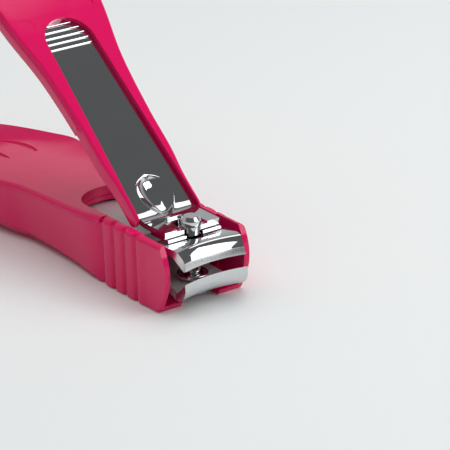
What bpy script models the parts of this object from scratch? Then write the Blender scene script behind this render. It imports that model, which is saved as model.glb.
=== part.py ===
"""Compound-lever nail clipper in a moulded catcher case, with the lever raised ready to cut.

Metres, +X towards the jaws, +Z up. The origin is on the flat base, midway along the case.
"""

import math

import bmesh
import bpy
from mathutils import Matrix

MM = 0.001

# Overall sizes
CASE_REAR_X = -50.0 * MM
CASE_HEIGHT = 14.2 * MM
HEAD_FRONT_X = 47.0 * MM
HEAD_HALF_WIDTH = 10.0 * MM
WAIST_HALF_WIDTH = 11.5 * MM
BELLY_HALF_WIDTH = 14.8 * MM
BELLY_X = -20.0 * MM
FOOT_TAPER = 1.5 * MM
CASE_WALL = 1.4 * MM
TOP_FALL = 3.83 * MM
HEEL_FALL = 1.89 * MM
HEEL_INSET = 4.0 * MM
FIT_GAP = 0.3 * MM

# Cover, tray and head of the case
COVER_FRONT_X = 28.2 * MM
COVER_RIM = 1.2 * MM
COVER_PLUG = 0.8 * MM
EDGE_FILLET = 0.9 * MM
TRAY_FRONT_X = 26.0 * MM
TRAY_FLOOR = 1.3 * MM
TRAY_LIP = 1.0 * MM
LIP_WALL = 0.9 * MM
CHAMFER_FRONT = 0.9 * MM
CHAMFER_GROWTH = 4.56 * MM
HEAD_FLOOR = 1.2 * MM
CHEEK_WALL = 1.3 * MM
CHEEK_BULGE = 3.2 * MM
RIB_COUNT = 4
RIB_PITCH = 3.85 * MM
RIB_FRONT_X = 40.0 * MM
RIB_PROUD = 0.4 * MM
RIB_GROOVE_RADIUS = 0.75 * MM
FLOOR_NOTCH_HALF_WIDTH = 4.4 * MM
FLOOR_NOTCH_DEPTH = 6.0 * MM
SLOT_HALF_WIDTH = 8.2 * MM
SLOT_CENTRE_X = 20.9 * MM
BRIDGE_REAR_X = 5.0 * MM
GRIP_TIP_X = -17.0 * MM
GRIP_LENGTH = 11.7 * MM
GRIP_OFFSET = 3.5 * MM
GRIP_GROOVE_RADIUS = 0.5 * MM
SEAT_RIB_X = (-3.0 * MM, 4.0 * MM)
SEAT_RIB_WIDTH = 1.2 * MM

# Blades
BLADE_THICKNESS = 1.4 * MM
BLADE_REAR_X = -18.0 * MM
BLADE_FLEX_INSET = 2.0 * MM
BLADE_REAR_HALF_WIDTH = 5.6 * MM
BLADE_FRONT_HALF_WIDTH = 7.5 * MM
LOWER_NECK_HALF_WIDTH = 6.2 * MM
JAW_HALF_WIDTH = 7.0 * MM
JAW_X = 52.1 * MM
JAW_HOLLOW = 1.1 * MM
UPPER_BLADE_TOP = 13.0 * MM
UPPER_BLADE_SLOPE = 0.1
LOWER_BLADE_TOP = 4.3 * MM
LOWER_BLADE_SLOPE = 0.0226
UPPER_EDGE_HEIGHT = 9.75 * MM
LOWER_EDGE_HEIGHT = 7.15 * MM
EDGE_WIDTH = 0.2 * MM
RIVET_X = (-9.0 * MM, -14.0 * MM)
RIVET_RADIUS = 1.5 * MM
RIVET_HEAD_RADIUS = 2.5 * MM
RIVET_HEAD_HEIGHT = 0.7 * MM

# Post
POST_X = 45.0 * MM
POST_TOP = 17.2 * MM
POST_HEAD_RADIUS = 2.0 * MM
POST_FACE_RADIUS = 1.4 * MM
POST_CONE_HEIGHT = 0.7 * MM
POST_BAND_HEIGHT = 1.2 * MM
POST_RADIUS = 1.65 * MM
POST_SWING_ROOM = 0.7 * MM
POST_FOOT_RADIUS = 3.3 * MM
POST_FOOT_HEIGHT = 0.8 * MM
COLLAR_RADIUS = 3.1 * MM
COLLAR_HEIGHT = 0.9 * MM

# Lever
LEVER_ANGLE = math.radians(39.2)
LEVER_LENGTH = 81.0 * MM
LEVER_THICKNESS = 1.2 * MM
BEND_X = 36.8 * MM
BEND_HEIGHT = 15.2 * MM
FORK_HALF_WIDTH = 6.4 * MM
FORK_FRONT_X = 45.4 * MM
FORK_LIP_STEP = 0.4 * MM
FORK_LIP_HALF_WIDTH = 3.6 * MM
FORK_SLOT_LENGTH = 4.6 * MM
DIMPLE_REAR = 9.3 * MM
DIMPLE_HALF_WIDTH = 3.6 * MM
DIMPLE_DEPTH = 1.5 * MM
WINDOW_LENGTH = 42.3 * MM
WINDOW_END_HALF_WIDTH = 5.5 * MM
WINDOW_BEND_HALF_WIDTH = 7.0 * MM
PLATE_BORDER = 1.3 * MM
CROSS_GROOVE_COUNT = 5
CROSS_GROOVE_PITCH = 1.38 * MM
CROSS_GROOVE_WIDTH = 0.3 * MM
CROSS_GROOVE_DEPTH = 0.2 * MM
FRAME_PROUD = 1.15 * MM
ARM_DROP = 1.75 * MM
ARM_OVERHANG = 0.8 * MM
ARM_TIP_HALF_WIDTH = 7.9 * MM
ARM_HALF_WIDTH = 8.5 * MM
PADDLE_START = 23.0 * MM
PADDLE_DROP = 3.05 * MM
PADDLE_HALF_WIDTH = 12.5 * MM
THUMB_REST_DEPTH = 0.3 * MM
THUMB_REST_BORDER = 2.0 * MM
THUMB_REST_RADIUS = 11.6 * MM


# ---------------------------------------------------------------- building blocks

def clear_scene():
    for obj in list(bpy.data.objects):
        bpy.data.objects.remove(obj, do_unlink=True)


def material(name, colour, roughness, metallic):
    mat = bpy.data.materials.new(name)
    mat.use_nodes = True
    shader = mat.node_tree.nodes["Principled BSDF"]
    shader.inputs["Base Color"].default_value = (*colour, 1.0)
    shader.inputs["Roughness"].default_value = roughness
    shader.inputs["Metallic"].default_value = metallic
    return mat


def object_from(name, bm, mat=None):
    """Turns a bmesh into a scene object with its faces turned outward."""
    bmesh.ops.recalc_face_normals(bm, faces=bm.faces)
    mesh = bpy.data.meshes.new(name)
    bm.to_mesh(mesh)
    bm.free()
    obj = bpy.data.objects.new(name, mesh)
    bpy.context.scene.collection.objects.link(obj)
    if mat:
        mesh.materials.append(mat)
    return obj


def boolean(obj, other, operation):
    other.hide_render = True
    other.display_type = "WIRE"
    modifier = obj.modifiers.new(operation.lower() + "_" + other.name, "BOOLEAN")
    modifier.operation = operation
    modifier.solver = "EXACT"
    modifier.object = other


def cut(obj, other):
    boolean(obj, other, "DIFFERENCE")


def join(obj, other):
    boolean(obj, other, "UNION")


def hang(name, place, objects):
    """Parents objects to an empty that marks their joint, without moving them."""
    joint = bpy.data.objects.new(name, None)
    joint.location = place
    joint.empty_display_size = 5.0 * MM
    bpy.context.scene.collection.objects.link(joint)
    for obj in objects:
        obj.parent = joint
        obj.matrix_parent_inverse = Matrix.Translation(place).inverted()


def smooth(obj, degrees=35.0):
    obj.data.shade_smooth()
    obj.data.set_sharp_from_angle(angle=math.radians(degrees))
    return obj


def loft(name, sections, mat=None):
    """A closed solid through rings of points that all have the same count."""
    bm = bmesh.new()
    rings = [[bm.verts.new(point) for point in section] for section in sections]
    count = len(rings[0])
    for first, second in zip(rings, rings[1:]):
        for i in range(count):
            j = (i + 1) % count
            bm.faces.new((first[i], first[j], second[j], second[i]))
    bm.faces.new(rings[0][::-1])
    bm.faces.new(rings[-1])
    return object_from(name, bm, mat)


def prism(name, outline, low, high, place, mat=None):
    """A flat outline pushed from low to high. place turns (a, b, level) into a point."""
    rings = [[place(a, b, level) for a, b in outline] for level in (low, high)]
    return loft(name, rings, mat)


def upright(a, b, level):
    return (a, b, level)


def sideways(a, b, level):
    return (a, level, b)


def on_lever(u, y, n):
    """A point u along the lever from its bend, y across it and n above its steel face."""
    x = BEND_X - u * math.cos(LEVER_ANGLE) + n * math.sin(LEVER_ANGLE)
    z = BEND_HEIGHT + u * math.sin(LEVER_ANGLE) + n * math.cos(LEVER_ANGLE)
    return (x, y, z)


def box(name, low, high):
    outline = [(low[0], low[1]), (high[0], low[1]), (high[0], high[1]), (low[0], high[1])]
    return prism(name, outline, low[2], high[2], upright)


def cylinder(name, x, y, low, high, radius, segments=24):
    turns = [2.0 * math.pi * i / segments for i in range(segments)]
    outline = [(x + radius * math.cos(a), y + radius * math.sin(a)) for a in turns]
    return prism(name, outline, low, high, upright)


def turned(name, profile, x, mat=None, closed=False, segments=32):
    """A solid turned about an upright line at x, from (radius, height) points."""
    bm = bmesh.new()
    verts = [bm.verts.new((x + radius, 0.0, height)) for radius, height in profile]
    ends = verts[1:] + verts[:1] if closed else verts[1:]
    edges = [bm.edges.new(pair) for pair in zip(verts, ends)]
    bmesh.ops.spin(bm, geom=verts + edges, cent=(x, 0.0, 0.0), axis=(0.0, 0.0, 1.0),
                   angle=2.0 * math.pi, steps=segments, use_merge=True)
    bmesh.ops.remove_doubles(bm, verts=bm.verts, dist=1e-6)
    return smooth(object_from(name, bm, mat))


def tube(name, path, radius, segments=8):
    """A round bar along a path that runs mainly along X, with pointed ends."""
    sections = []
    for i, (x, y, z) in enumerate(path):
        size = radius * (0.25 if i in (0, len(path) - 1) else 1.0)
        turns = [2.0 * math.pi * k / segments for k in range(segments)]
        sections.append([(x, y + size * math.cos(a), z + size * math.sin(a)) for a in turns])
    return loft(name, sections)


def through(table, x):
    """Reads a table of (place, size) rows as a smooth curve through them."""
    if x <= table[0][0]:
        return table[0][1]
    if x >= table[-1][0]:
        return table[-1][1]
    i = max(k for k in range(len(table) - 1) if table[k][0] <= x)
    slopes = []
    for k in (i, i + 1):
        a, b = max(k - 1, 0), min(k + 1, len(table) - 1)
        slopes.append((table[b][1] - table[a][1]) / (table[b][0] - table[a][0]))
    (x0, y0), (x1, y1) = table[i], table[i + 1]
    width = x1 - x0
    t = (x - x0) / width
    bend = (y0 - y1) * 2.0 + (slopes[0] + slopes[1]) * width
    rise = (y1 - y0) * 3.0 - (2.0 * slopes[0] + slopes[1]) * width
    return y0 + slopes[0] * width * t + rise * t * t + bend * t * t * t


# ---------------------------------------------------------------- shapes of the case

def case_top(x):
    """Height of the top face: level over the head, falling to the rear, then curving down."""
    heel_start = BELLY_X - HEEL_INSET
    slope = max(COVER_FRONT_X - x, 0.0) / (COVER_FRONT_X - CASE_REAR_X)
    heel = max(heel_start - x, 0.0) / (heel_start - CASE_REAR_X)
    return CASE_HEIGHT - TOP_FALL * slope - HEEL_FALL * heel * heel


def heel_share(x):
    """1 along the case, falling to a blunt end round the heel."""
    start = 0.84 * CASE_REAR_X
    if x >= start:
        return 1.0
    t = (start - x) / (start - CASE_REAR_X)
    return max(math.sqrt(max(1.0 - t * t, 0.0)), 0.28)


def top_half_width(x):
    spread = BELLY_HALF_WIDTH - HEAD_HALF_WIDTH
    table = [
        (CASE_REAR_X, 0.86 * HEAD_HALF_WIDTH),
        (0.86 * CASE_REAR_X, HEAD_HALF_WIDTH),
        (1.65 * BELLY_X, HEAD_HALF_WIDTH + 0.38 * spread),
        (1.3 * BELLY_X, HEAD_HALF_WIDTH + 0.7 * spread),
        (BELLY_X, BELLY_HALF_WIDTH),
        (0.6 * BELLY_X, HEAD_HALF_WIDTH + 0.79 * spread),
        (0.25 * BELLY_X, WAIST_HALF_WIDTH + 1.2 * MM),
        (0.0, WAIST_HALF_WIDTH + 0.25 * MM),
        (6.0 * MM, WAIST_HALF_WIDTH),
        (COVER_FRONT_X - 10.0 * MM, WAIST_HALF_WIDTH - 0.1 * MM),
        (COVER_FRONT_X - 4.0 * MM, WAIST_HALF_WIDTH - 0.35 * MM),
        (COVER_FRONT_X, HEAD_HALF_WIDTH + RIB_PROUD),
        (RIB_FRONT_X + 0.5 * RIB_PITCH, HEAD_HALF_WIDTH + RIB_PROUD),
        (RIB_FRONT_X + 0.75 * RIB_PITCH, HEAD_HALF_WIDTH),
        (HEAD_FRONT_X + CHEEK_BULGE, HEAD_HALF_WIDTH),
    ]
    return through(table, x) * heel_share(x)


def foot_half_width(x):
    """Half width low down on the side, where the wall meets the chamfer."""
    table = [
        (1.5 * BELLY_X, 0.6 * FOOT_TAPER),
        (BELLY_X, 0.6 * FOOT_TAPER),
        (0.35 * BELLY_X, 0.5 * FOOT_TAPER),
        (0.0, 0.8 * FOOT_TAPER),
        (8.0 * MM, FOOT_TAPER),
        (COVER_FRONT_X - 10.0 * MM, FOOT_TAPER),
        (COVER_FRONT_X, 0.2 * FOOT_TAPER),
        (COVER_FRONT_X + 2.0 * MM, 0.0),
    ]
    return top_half_width(x) - through(table, x) * heel_share(x)


def chamfer_height(x):
    share = max(TRAY_FRONT_X - x, 0.0) / (TRAY_FRONT_X - CASE_REAR_X)
    return CHAMFER_FRONT + CHAMFER_GROWTH * share


def side_half_width(x, z):
    """Half width of the outer side face at a height."""
    low, high = chamfer_height(x), case_top(x)
    share = min(max((z - low) / (high - low), 0.0), 1.0)
    return foot_half_width(x) + share * (top_half_width(x) - foot_half_width(x))


def base_half_width(x):
    return foot_half_width(x) - min(0.95 * chamfer_height(x), 0.6 * foot_half_width(x))


def stations(start, end):
    """Places along X for the sections, closer together round the heel."""
    heel = 0.86 * CASE_REAR_X
    round_end = [heel + (CASE_REAR_X - heel) * math.sin(0.5 * math.pi * i / 6) for i in range(6, 0, -1)]
    front = HEAD_FRONT_X + CHEEK_BULGE
    along = [heel + (front - heel) * i / 34 for i in range(35)]
    margin = 0.3 * MM
    return [start] + [x for x in round_end + along if start + margin < x < end - margin] + [end]


def ring_of(x, half):
    """Closes half an outline of (y, z) points, lowest first, into a whole ring at x."""
    return [(x, y, z) for y, z in half] + [(x, -y, z) for y, z in reversed(half)]


def shell(name, start, end, low_of, high_of, width_of, fillet=0.0, chamfer=0.0, mat=None):
    """A solid between two heights, as wide as the case or narrower, with eased edges."""
    sections = []
    for x in stations(start, end):
        low, high = low_of(x), high_of(x)
        half = [(width_of(x, low) - chamfer, low)]
        if chamfer:
            half.append((width_of(x, low + chamfer), low + chamfer))
        top = width_of(x, high)
        if fillet:
            steps = [0.5 * math.pi * i / 3 for i in range(4)]
            half += [(top - fillet * (1.0 - math.cos(a)), high - fillet * (1.0 - math.sin(a)))
                     for a in steps]
        else:
            half.append((top, high))
        sections.append(ring_of(x, half))
    return loft(name, sections, mat)


def lever_slot(name, low):
    """The slot with a round rear end that the lever arms drop into."""
    turns = [0.5 * math.pi + math.pi * i / 20 for i in range(21)]
    outline = [(SLOT_CENTRE_X + SLOT_HALF_WIDTH * math.cos(a), SLOT_HALF_WIDTH * math.sin(a))
               for a in turns]
    front = COVER_FRONT_X + 2.0 * MM
    outline += [(front, -SLOT_HALF_WIDTH), (front, SLOT_HALF_WIDTH)]
    return prism(name, outline, low, CASE_HEIGHT + 2.0 * MM, upright)


def cheek_profile():
    """Everything in front of the bulged front edges of the cheeks."""
    top = CASE_HEIGHT + 1.0 * MM
    steps = 14
    outline = [(HEAD_FRONT_X - 0.5 * MM, -1.0 * MM)]
    for i in range(steps + 1):
        z = top * i / steps
        share = math.sin(math.pi * min(z / (1.18 * CASE_HEIGHT), 1.0))
        outline.append((HEAD_FRONT_X + CHEEK_BULGE * share, z))
    far = HEAD_FRONT_X + 3.0 * CHEEK_BULGE
    outline += [(far, top), (far, -1.0 * MM)]
    half = HEAD_HALF_WIDTH + 2.0 * MM
    return prism("cheek_profile", outline, -half, half, sideways)


def rib_grooves():
    """Upright grooves down both outer walls, which leave the ribs between them."""
    found = []
    for i in range(RIB_COUNT):
        for side in (-1.0, 1.0):
            y = side * (HEAD_HALF_WIDTH + RIB_GROOVE_RADIUS - 0.1 * MM)
            found.append(cylinder("rib_groove", RIB_FRONT_X - i * RIB_PITCH, y, -1.0 * MM,
                                  CASE_HEIGHT + 1.0 * MM, RIB_GROOVE_RADIUS, 12))
    return found


def cover_underside(x):
    return case_top(x) - COVER_RIM


def build_case_body(mat, grooves):
    front = HEAD_FRONT_X + CHEEK_BULGE
    head_rear = COVER_FRONT_X + FIT_GAP
    neck_rear = TRAY_FRONT_X + FIT_GAP
    body = shell("case_body", head_rear, front, lambda x: 0.0, lambda x: CASE_HEIGHT,
                 side_half_width, EDGE_FILLET, 0.7 * MM, mat)
    neck = shell("neck", neck_rear, head_rear + 1.0 * MM, lambda x: 0.0,
                 lambda x: cover_underside(x) - FIT_GAP, side_half_width, 0.0, 0.7 * MM)
    join(body, neck)
    rear = shell("rear_walls", CASE_REAR_X, neck_rear + 1.0 * MM,
                 lambda x: chamfer_height(x) + FIT_GAP,
                 lambda x: cover_underside(x) - FIT_GAP, side_half_width)
    hollow = shell("rear_hollow", CASE_REAR_X + CASE_WALL, neck_rear + 2.0 * MM,
                   lambda x: -2.0 * MM, lambda x: CASE_HEIGHT + 2.0 * MM,
                   lambda x, z: body_hollow_half_width(x))
    cut(rear, hollow)
    bridge = shell("bridge", BRIDGE_REAR_X, COVER_FRONT_X,
                   lambda x: upper_blade_top(x) + 0.5 * MM,
                   lambda x: cover_underside(x) - COVER_PLUG - FIT_GAP,
                   lambda x, z: foot_half_width(x) - 0.4 * MM)
    join(rear, bridge)
    cut(rear, lever_slot("slot_through_body", 1.0 * MM))
    join(body, rear)
    wall = SLOT_HALF_WIDTH + 0.1 * MM
    cut(body, box("channel", (neck_rear - 4.0 * MM, -wall, HEAD_FLOOR),
                  (front + 3.0 * MM, wall, CASE_HEIGHT + 3.0 * MM)))
    cheek = HEAD_HALF_WIDTH - CHEEK_WALL
    cut(body, box("cheek_room", (RIB_FRONT_X + 0.4 * RIB_PITCH, -cheek, HEAD_FLOOR),
                  (front + 3.0 * MM, cheek, CASE_HEIGHT + 3.0 * MM)))
    notch = FLOOR_NOTCH_HALF_WIDTH
    cut(body, box("floor_notch", (HEAD_FRONT_X - FLOOR_NOTCH_DEPTH, -notch, -1.0 * MM),
                  (front + 3.0 * MM, notch, HEAD_FLOOR + 1.0 * MM)))
    cut(body, cheek_profile())
    for groove in grooves:
        cut(body, groove)
    return smooth(body)


def body_hollow_half_width(x):
    """Thin walls round the rear, thickening to carry the sides of the lever slot."""
    open_width = foot_half_width(x) - CASE_WALL
    start, end = SLOT_CENTRE_X - SLOT_HALF_WIDTH, SLOT_CENTRE_X
    t = min(max((x - start) / (end - start), 0.0), 1.0)
    return (1.0 - t) * open_width + t * min(SLOT_HALF_WIDTH, open_width)


def build_cover(mat, grooves):
    cover = shell("case_top_cover", CASE_REAR_X, COVER_FRONT_X, cover_underside, case_top,
                  side_half_width, EDGE_FILLET, 0.0, mat)
    rear = CASE_REAR_X + CASE_WALL + FIT_GAP
    plug = shell("cover_plug", rear, COVER_FRONT_X - 4.0 * MM,
                 lambda x: cover_underside(x) - COVER_PLUG, lambda x: case_top(x) - 0.5 * MM,
                 lambda x, z: body_hollow_half_width(x) - FIT_GAP)
    join(cover, plug)
    cut(cover, lever_slot("slot_through_cover", 1.0 * MM))
    shares = (0.0, 0.2, 0.46, 0.75, 0.9, 1.0)
    offsets = (0.97, 1.0, 1.03, 0.89, 0.68, 0.37)
    for side in (-1.0, 1.0):
        path = []
        for share, offset in zip(shares, offsets):
            x = GRIP_TIP_X - share * GRIP_LENGTH
            path.append((x, side * offset * GRIP_OFFSET, case_top(x) + 0.1 * MM))
        cut(cover, tube("grip_groove", path, GRIP_GROOVE_RADIUS))
    for groove in grooves[-2:]:
        cut(cover, groove)
    return smooth(cover)


def build_tray(mat):
    def outer(x, z):
        share = min(max(z / chamfer_height(x), 0.0), 1.0)
        return base_half_width(x) + share * (foot_half_width(x) - base_half_width(x))

    def lip(x, z):
        return foot_half_width(x) - CASE_WALL - FIT_GAP

    def room(x, z):
        slant = base_half_width(x) - 0.7 * MM + max(z - TRAY_FLOOR, 0.0)
        return max(min(slant, lip(x, z) - LIP_WALL), 0.8 * MM)

    tray = shell("case_bottom_tray", CASE_REAR_X, TRAY_FRONT_X, lambda x: 0.0, chamfer_height, outer,
                 mat=mat)
    lip_rear = CASE_REAR_X + CASE_WALL + FIT_GAP
    lip_front = 4.0 * MM
    rim = shell("tray_rim", lip_rear, lip_front, lambda x: chamfer_height(x) - 0.6 * MM,
                lambda x: chamfer_height(x) + TRAY_LIP, lip)
    join(tray, rim)
    hollow = shell("tray_hollow", lip_rear + 2.0 * LIP_WALL, lip_front - LIP_WALL,
                   lambda x: TRAY_FLOOR, lambda x: 3.0 * chamfer_height(x) + 3.0 * MM, room)
    cut(tray, hollow)
    for x in SEAT_RIB_X:
        height = lower_blade_top(x) - BLADE_THICKNESS - FIT_GAP
        half = foot_half_width(x) - CASE_WALL - 2.0 * LIP_WALL
        join(tray, box("seat_rib", (x, -half, 0.5 * MM), (x + SEAT_RIB_WIDTH, half, height)))
    return smooth(tray)


# ---------------------------------------------------------------- blades and post

def lower_blade_top(x):
    return LOWER_BLADE_TOP + LOWER_BLADE_SLOPE * (POST_X - x)


def upper_blade_top(x):
    free = UPPER_BLADE_TOP - UPPER_BLADE_SLOPE * (POST_X - x)
    return max(free, lower_blade_top(x) + FIT_GAP + BLADE_THICKNESS)


def blade(name, rows, mat):
    """A bent strip. Each row holds the upper point, the lower point, the half width and the hollow."""
    across = [2.0 * i / 8 - 1.0 for i in range(9)]
    sections = []
    for (x_up, z_up), (x_low, z_low), half, hollow in rows:
        top = [(x_up + hollow * t * t, half * t, z_up) for t in across]
        under = [(x_low + hollow * t * t, half * t, z_low) for t in reversed(across)]
        sections.append(top + under)
    return loft(name, sections, mat)


def flat_rows(xs, top_of, width_of):
    return [((x, top_of(x)), (x, top_of(x) - BLADE_THICKNESS), width_of(x), 0.0) for x in xs]


def upper_width(x):
    table = [(BLADE_REAR_X, BLADE_REAR_HALF_WIDTH), (0.0, BLADE_REAR_HALF_WIDTH),
             (BRIDGE_REAR_X + 5.0 * MM, BLADE_FRONT_HALF_WIDTH)]
    return through(table, x)


def lower_width(x):
    table = [(BLADE_REAR_X, BLADE_REAR_HALF_WIDTH), (BRIDGE_REAR_X, BLADE_REAR_HALF_WIDTH),
             (BRIDGE_REAR_X + 6.0 * MM, LOWER_NECK_HALF_WIDTH)]
    return through(table, x)


def build_upper_blade(mat):
    xs = [BLADE_REAR_X, BLADE_REAR_X + 3.0 * MM, -12.0 * MM, -8.0 * MM, 0.0, 4.0 * MM, 7.0 * MM,
          10.0 * MM, 25.0 * MM, POST_X - 3.0 * MM]
    rows = flat_rows(xs, upper_blade_top, upper_width)
    top, edge = upper_blade_top(POST_X + 1.5 * MM), UPPER_EDGE_HEIGHT
    drop = top - edge
    thick = BLADE_THICKNESS
    reach = JAW_X
    bend = reach - 3.9 * MM
    rows += [
        ((bend - 1.8 * MM, top), (bend - 1.8 * MM, top - thick), BLADE_FRONT_HALF_WIDTH, 0.0),
        ((bend, top + 0.15 * MM), (bend - 0.4 * MM, top - thick + 0.1 * MM), JAW_HALF_WIDTH, JAW_HOLLOW),
        ((bend + 1.1 * MM, top - 0.08 * drop), (bend + 0.5 * MM, top - thick - 0.04 * drop),
         JAW_HALF_WIDTH, JAW_HOLLOW),
        ((bend + 2.6 * MM, top - 0.32 * drop), (bend + 1.9 * MM, edge + 0.33 * drop),
         JAW_HALF_WIDTH, JAW_HOLLOW),
        ((reach + 0.2 * MM, edge + 0.43 * drop), (reach - 0.7 * MM, edge + 0.15 * drop),
         JAW_HALF_WIDTH, JAW_HOLLOW),
        ((reach, edge), (reach - EDGE_WIDTH, edge), JAW_HALF_WIDTH, JAW_HOLLOW),
    ]
    leaf = blade("upper_leaf", rows, mat)
    swing = POST_RADIUS + POST_SWING_ROOM
    cut(leaf, cylinder("upper_post_hole", POST_X, 0.0, 8.0 * MM, CASE_HEIGHT + 3.0 * MM, swing))
    for x in RIVET_X:
        cut(leaf, cylinder("upper_rivet_hole", x, 0.0, 3.0 * MM, CASE_HEIGHT, RIVET_RADIUS + FIT_GAP))
    return smooth(leaf)


def build_lower_blade(mat):
    xs = [BLADE_REAR_X, BLADE_REAR_X + 3.0 * MM, 0.0, BRIDGE_REAR_X, BRIDGE_REAR_X + 3.0 * MM,
          BRIDGE_REAR_X + 6.0 * MM, 25.0 * MM, POST_X - 3.0 * MM]
    rows = flat_rows(xs, lower_blade_top, lower_width)
    top, edge = lower_blade_top(POST_X), LOWER_EDGE_HEIGHT
    low = top - BLADE_THICKNESS
    reach = JAW_X - 0.1 * MM
    bend = reach - 3.4 * MM
    rise = edge - low
    rows += [
        ((bend - 1.0 * MM, top - 0.1 * MM), (bend - 1.0 * MM, low - 0.1 * MM), LOWER_NECK_HALF_WIDTH, 0.0),
        ((bend, top), (bend + 0.2 * MM, low - 0.15 * MM), JAW_HALF_WIDTH, JAW_HOLLOW),
        ((bend + 0.6 * MM, top + 0.4 * MM), (bend + 1.7 * MM, low + 0.08 * rise),
         JAW_HALF_WIDTH, JAW_HOLLOW),
        ((bend + 1.5 * MM, top + 1.25 * MM), (bend + 2.9 * MM, low + 0.33 * rise),
         JAW_HALF_WIDTH, JAW_HOLLOW),
        ((reach - 0.75 * MM, edge - 0.5 * MM), (reach + 0.05 * MM, low + 0.65 * rise),
         JAW_HALF_WIDTH, JAW_HOLLOW),
        ((reach - EDGE_WIDTH, edge), (reach, edge), JAW_HALF_WIDTH, JAW_HOLLOW),
    ]
    leaf = blade("lower_leaf", rows, mat)
    room = POST_RADIUS + FIT_GAP
    cut(leaf, cylinder("lower_post_hole", POST_X, 0.0, 0.0, 8.0 * MM, room))
    for x in RIVET_X:
        cut(leaf, cylinder("lower_rivet_hole", x, 0.0, 1.0 * MM, 9.0 * MM, RIVET_RADIUS + FIT_GAP))
    return smooth(leaf)


def build_rivet(name, x, mat):
    gap = FIT_GAP + 0.1 * MM
    low_face = lower_blade_top(x) - BLADE_THICKNESS - gap
    high_face = max(upper_blade_top(x + RIVET_HEAD_RADIUS), upper_blade_top(x - RIVET_HEAD_RADIUS)) + gap
    profile = [(0.0, low_face - RIVET_HEAD_HEIGHT), (RIVET_HEAD_RADIUS - 0.3 * MM, low_face - RIVET_HEAD_HEIGHT),
               (RIVET_HEAD_RADIUS, low_face - 0.3 * MM), (RIVET_HEAD_RADIUS, low_face),
               (RIVET_RADIUS, low_face), (RIVET_RADIUS, high_face), (RIVET_HEAD_RADIUS, high_face),
               (RIVET_HEAD_RADIUS, high_face + 0.3 * MM),
               (RIVET_HEAD_RADIUS - 0.3 * MM, high_face + RIVET_HEAD_HEIGHT),
               (0.0, high_face + RIVET_HEAD_HEIGHT)]
    return turned(name, profile, x, mat, segments=24)


def build_post(mat):
    foot_top = lower_blade_top(POST_X) - BLADE_THICKNESS - FIT_GAP
    band_low = POST_TOP - POST_CONE_HEIGHT - POST_BAND_HEIGHT
    profile = [(0.0, foot_top - POST_FOOT_HEIGHT), (POST_FOOT_RADIUS - 0.2 * MM, foot_top - POST_FOOT_HEIGHT),
               (POST_FOOT_RADIUS, foot_top - 0.6 * POST_FOOT_HEIGHT), (POST_FOOT_RADIUS, foot_top),
               (POST_RADIUS, foot_top), (POST_RADIUS, band_low), (POST_HEAD_RADIUS, band_low),
               (POST_HEAD_RADIUS, POST_TOP - POST_CONE_HEIGHT), (POST_FACE_RADIUS, POST_TOP), (0.0, POST_TOP)]
    return turned("post", profile, POST_X, mat)


def build_collar(mat):
    low = lower_blade_top(POST_X) + FIT_GAP
    high = low + COLLAR_HEIGHT
    inner = POST_RADIUS + FIT_GAP
    profile = [(inner, low), (COLLAR_RADIUS, low), (COLLAR_RADIUS, high - 0.2 * MM),
               (COLLAR_RADIUS - 0.2 * MM, high), (inner, high)]
    return turned("post_collar", profile, POST_X, mat, closed=True)


# ---------------------------------------------------------------- lever

def window_half_width(u):
    share = min(max(u / WINDOW_LENGTH, 0.0), 1.0)
    return WINDOW_BEND_HALF_WIDTH + (WINDOW_END_HALF_WIDTH - WINDOW_BEND_HALF_WIDTH) * share


def frame_half_width(u):
    end = LEVER_LENGTH - PADDLE_HALF_WIDTH
    table = [
        (-ARM_OVERHANG, ARM_TIP_HALF_WIDTH),
        (7.0 * MM, ARM_TIP_HALF_WIDTH),
        (13.0 * MM, ARM_HALF_WIDTH - 0.1 * MM),
        (PADDLE_START, ARM_HALF_WIDTH),
        (0.45 * LEVER_LENGTH, ARM_HALF_WIDTH + 0.9 * MM),
        (0.6 * LEVER_LENGTH, PADDLE_HALF_WIDTH - 0.9 * MM),
        (0.72 * LEVER_LENGTH, PADDLE_HALF_WIDTH),
        (end, PADDLE_HALF_WIDTH),
    ]
    width = through(table, u)
    if u > end:
        t = (u - end) / (LEVER_LENGTH - end)
        width *= max(math.sqrt(max(1.0 - t * t, 0.0)), 0.2)
    return width


def lever_stations(start, end):
    round_start = LEVER_LENGTH - PADDLE_HALF_WIDTH
    tail = [round_start + PADDLE_HALF_WIDTH * math.sin(0.5 * math.pi * i / 7) for i in range(1, 8)]
    steady = [start + (round_start - start) * i / 18 for i in range(1, 18)]
    margin = 0.4 * MM
    return [start] + [u for u in steady + tail if start + margin < u < end - margin] + [end]


def lever_shell(name, start, end, low_of, high, inset, bevel_low, bevel_high, mat=None):
    """A slab that follows the frame outline between two levels, with chamfered edges."""
    sections = []
    for u in lever_stations(start, end):
        half = max(frame_half_width(u) - inset, 0.5 * MM)
        low = low_of(u)
        right = [(half - bevel_low, low), (half, low + bevel_low), (half, high - bevel_high),
                 (half - 0.3 * bevel_high, high - 0.3 * bevel_high), (half - bevel_high, high)]
        if bevel_low == 0.0:
            right = right[1:]
        if bevel_high == 0.0:
            right = right[:-2]
        ring = right + [(-y, n) for y, n in reversed(right)]
        sections.append([on_lever(u, y, n) for y, n in ring])
    return loft(name, sections, mat)


def window_cut():
    """The opening that shows the steel, open at the bend and round at its far end."""
    turns = [0.5 * math.pi - math.pi * i / 16 for i in range(17)]
    end = [(WINDOW_LENGTH + WINDOW_END_HALF_WIDTH * math.cos(a), WINDOW_END_HALF_WIDTH * math.sin(a))
           for a in turns]
    start = -ARM_OVERHANG - 3.0 * MM
    half = WINDOW_BEND_HALF_WIDTH
    outline = [(start, -half), (start, half), (0.0, half)] + end + [(0.0, -half)]
    return prism("window", outline, -6.0 * MM, 6.0 * MM, on_lever)


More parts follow.
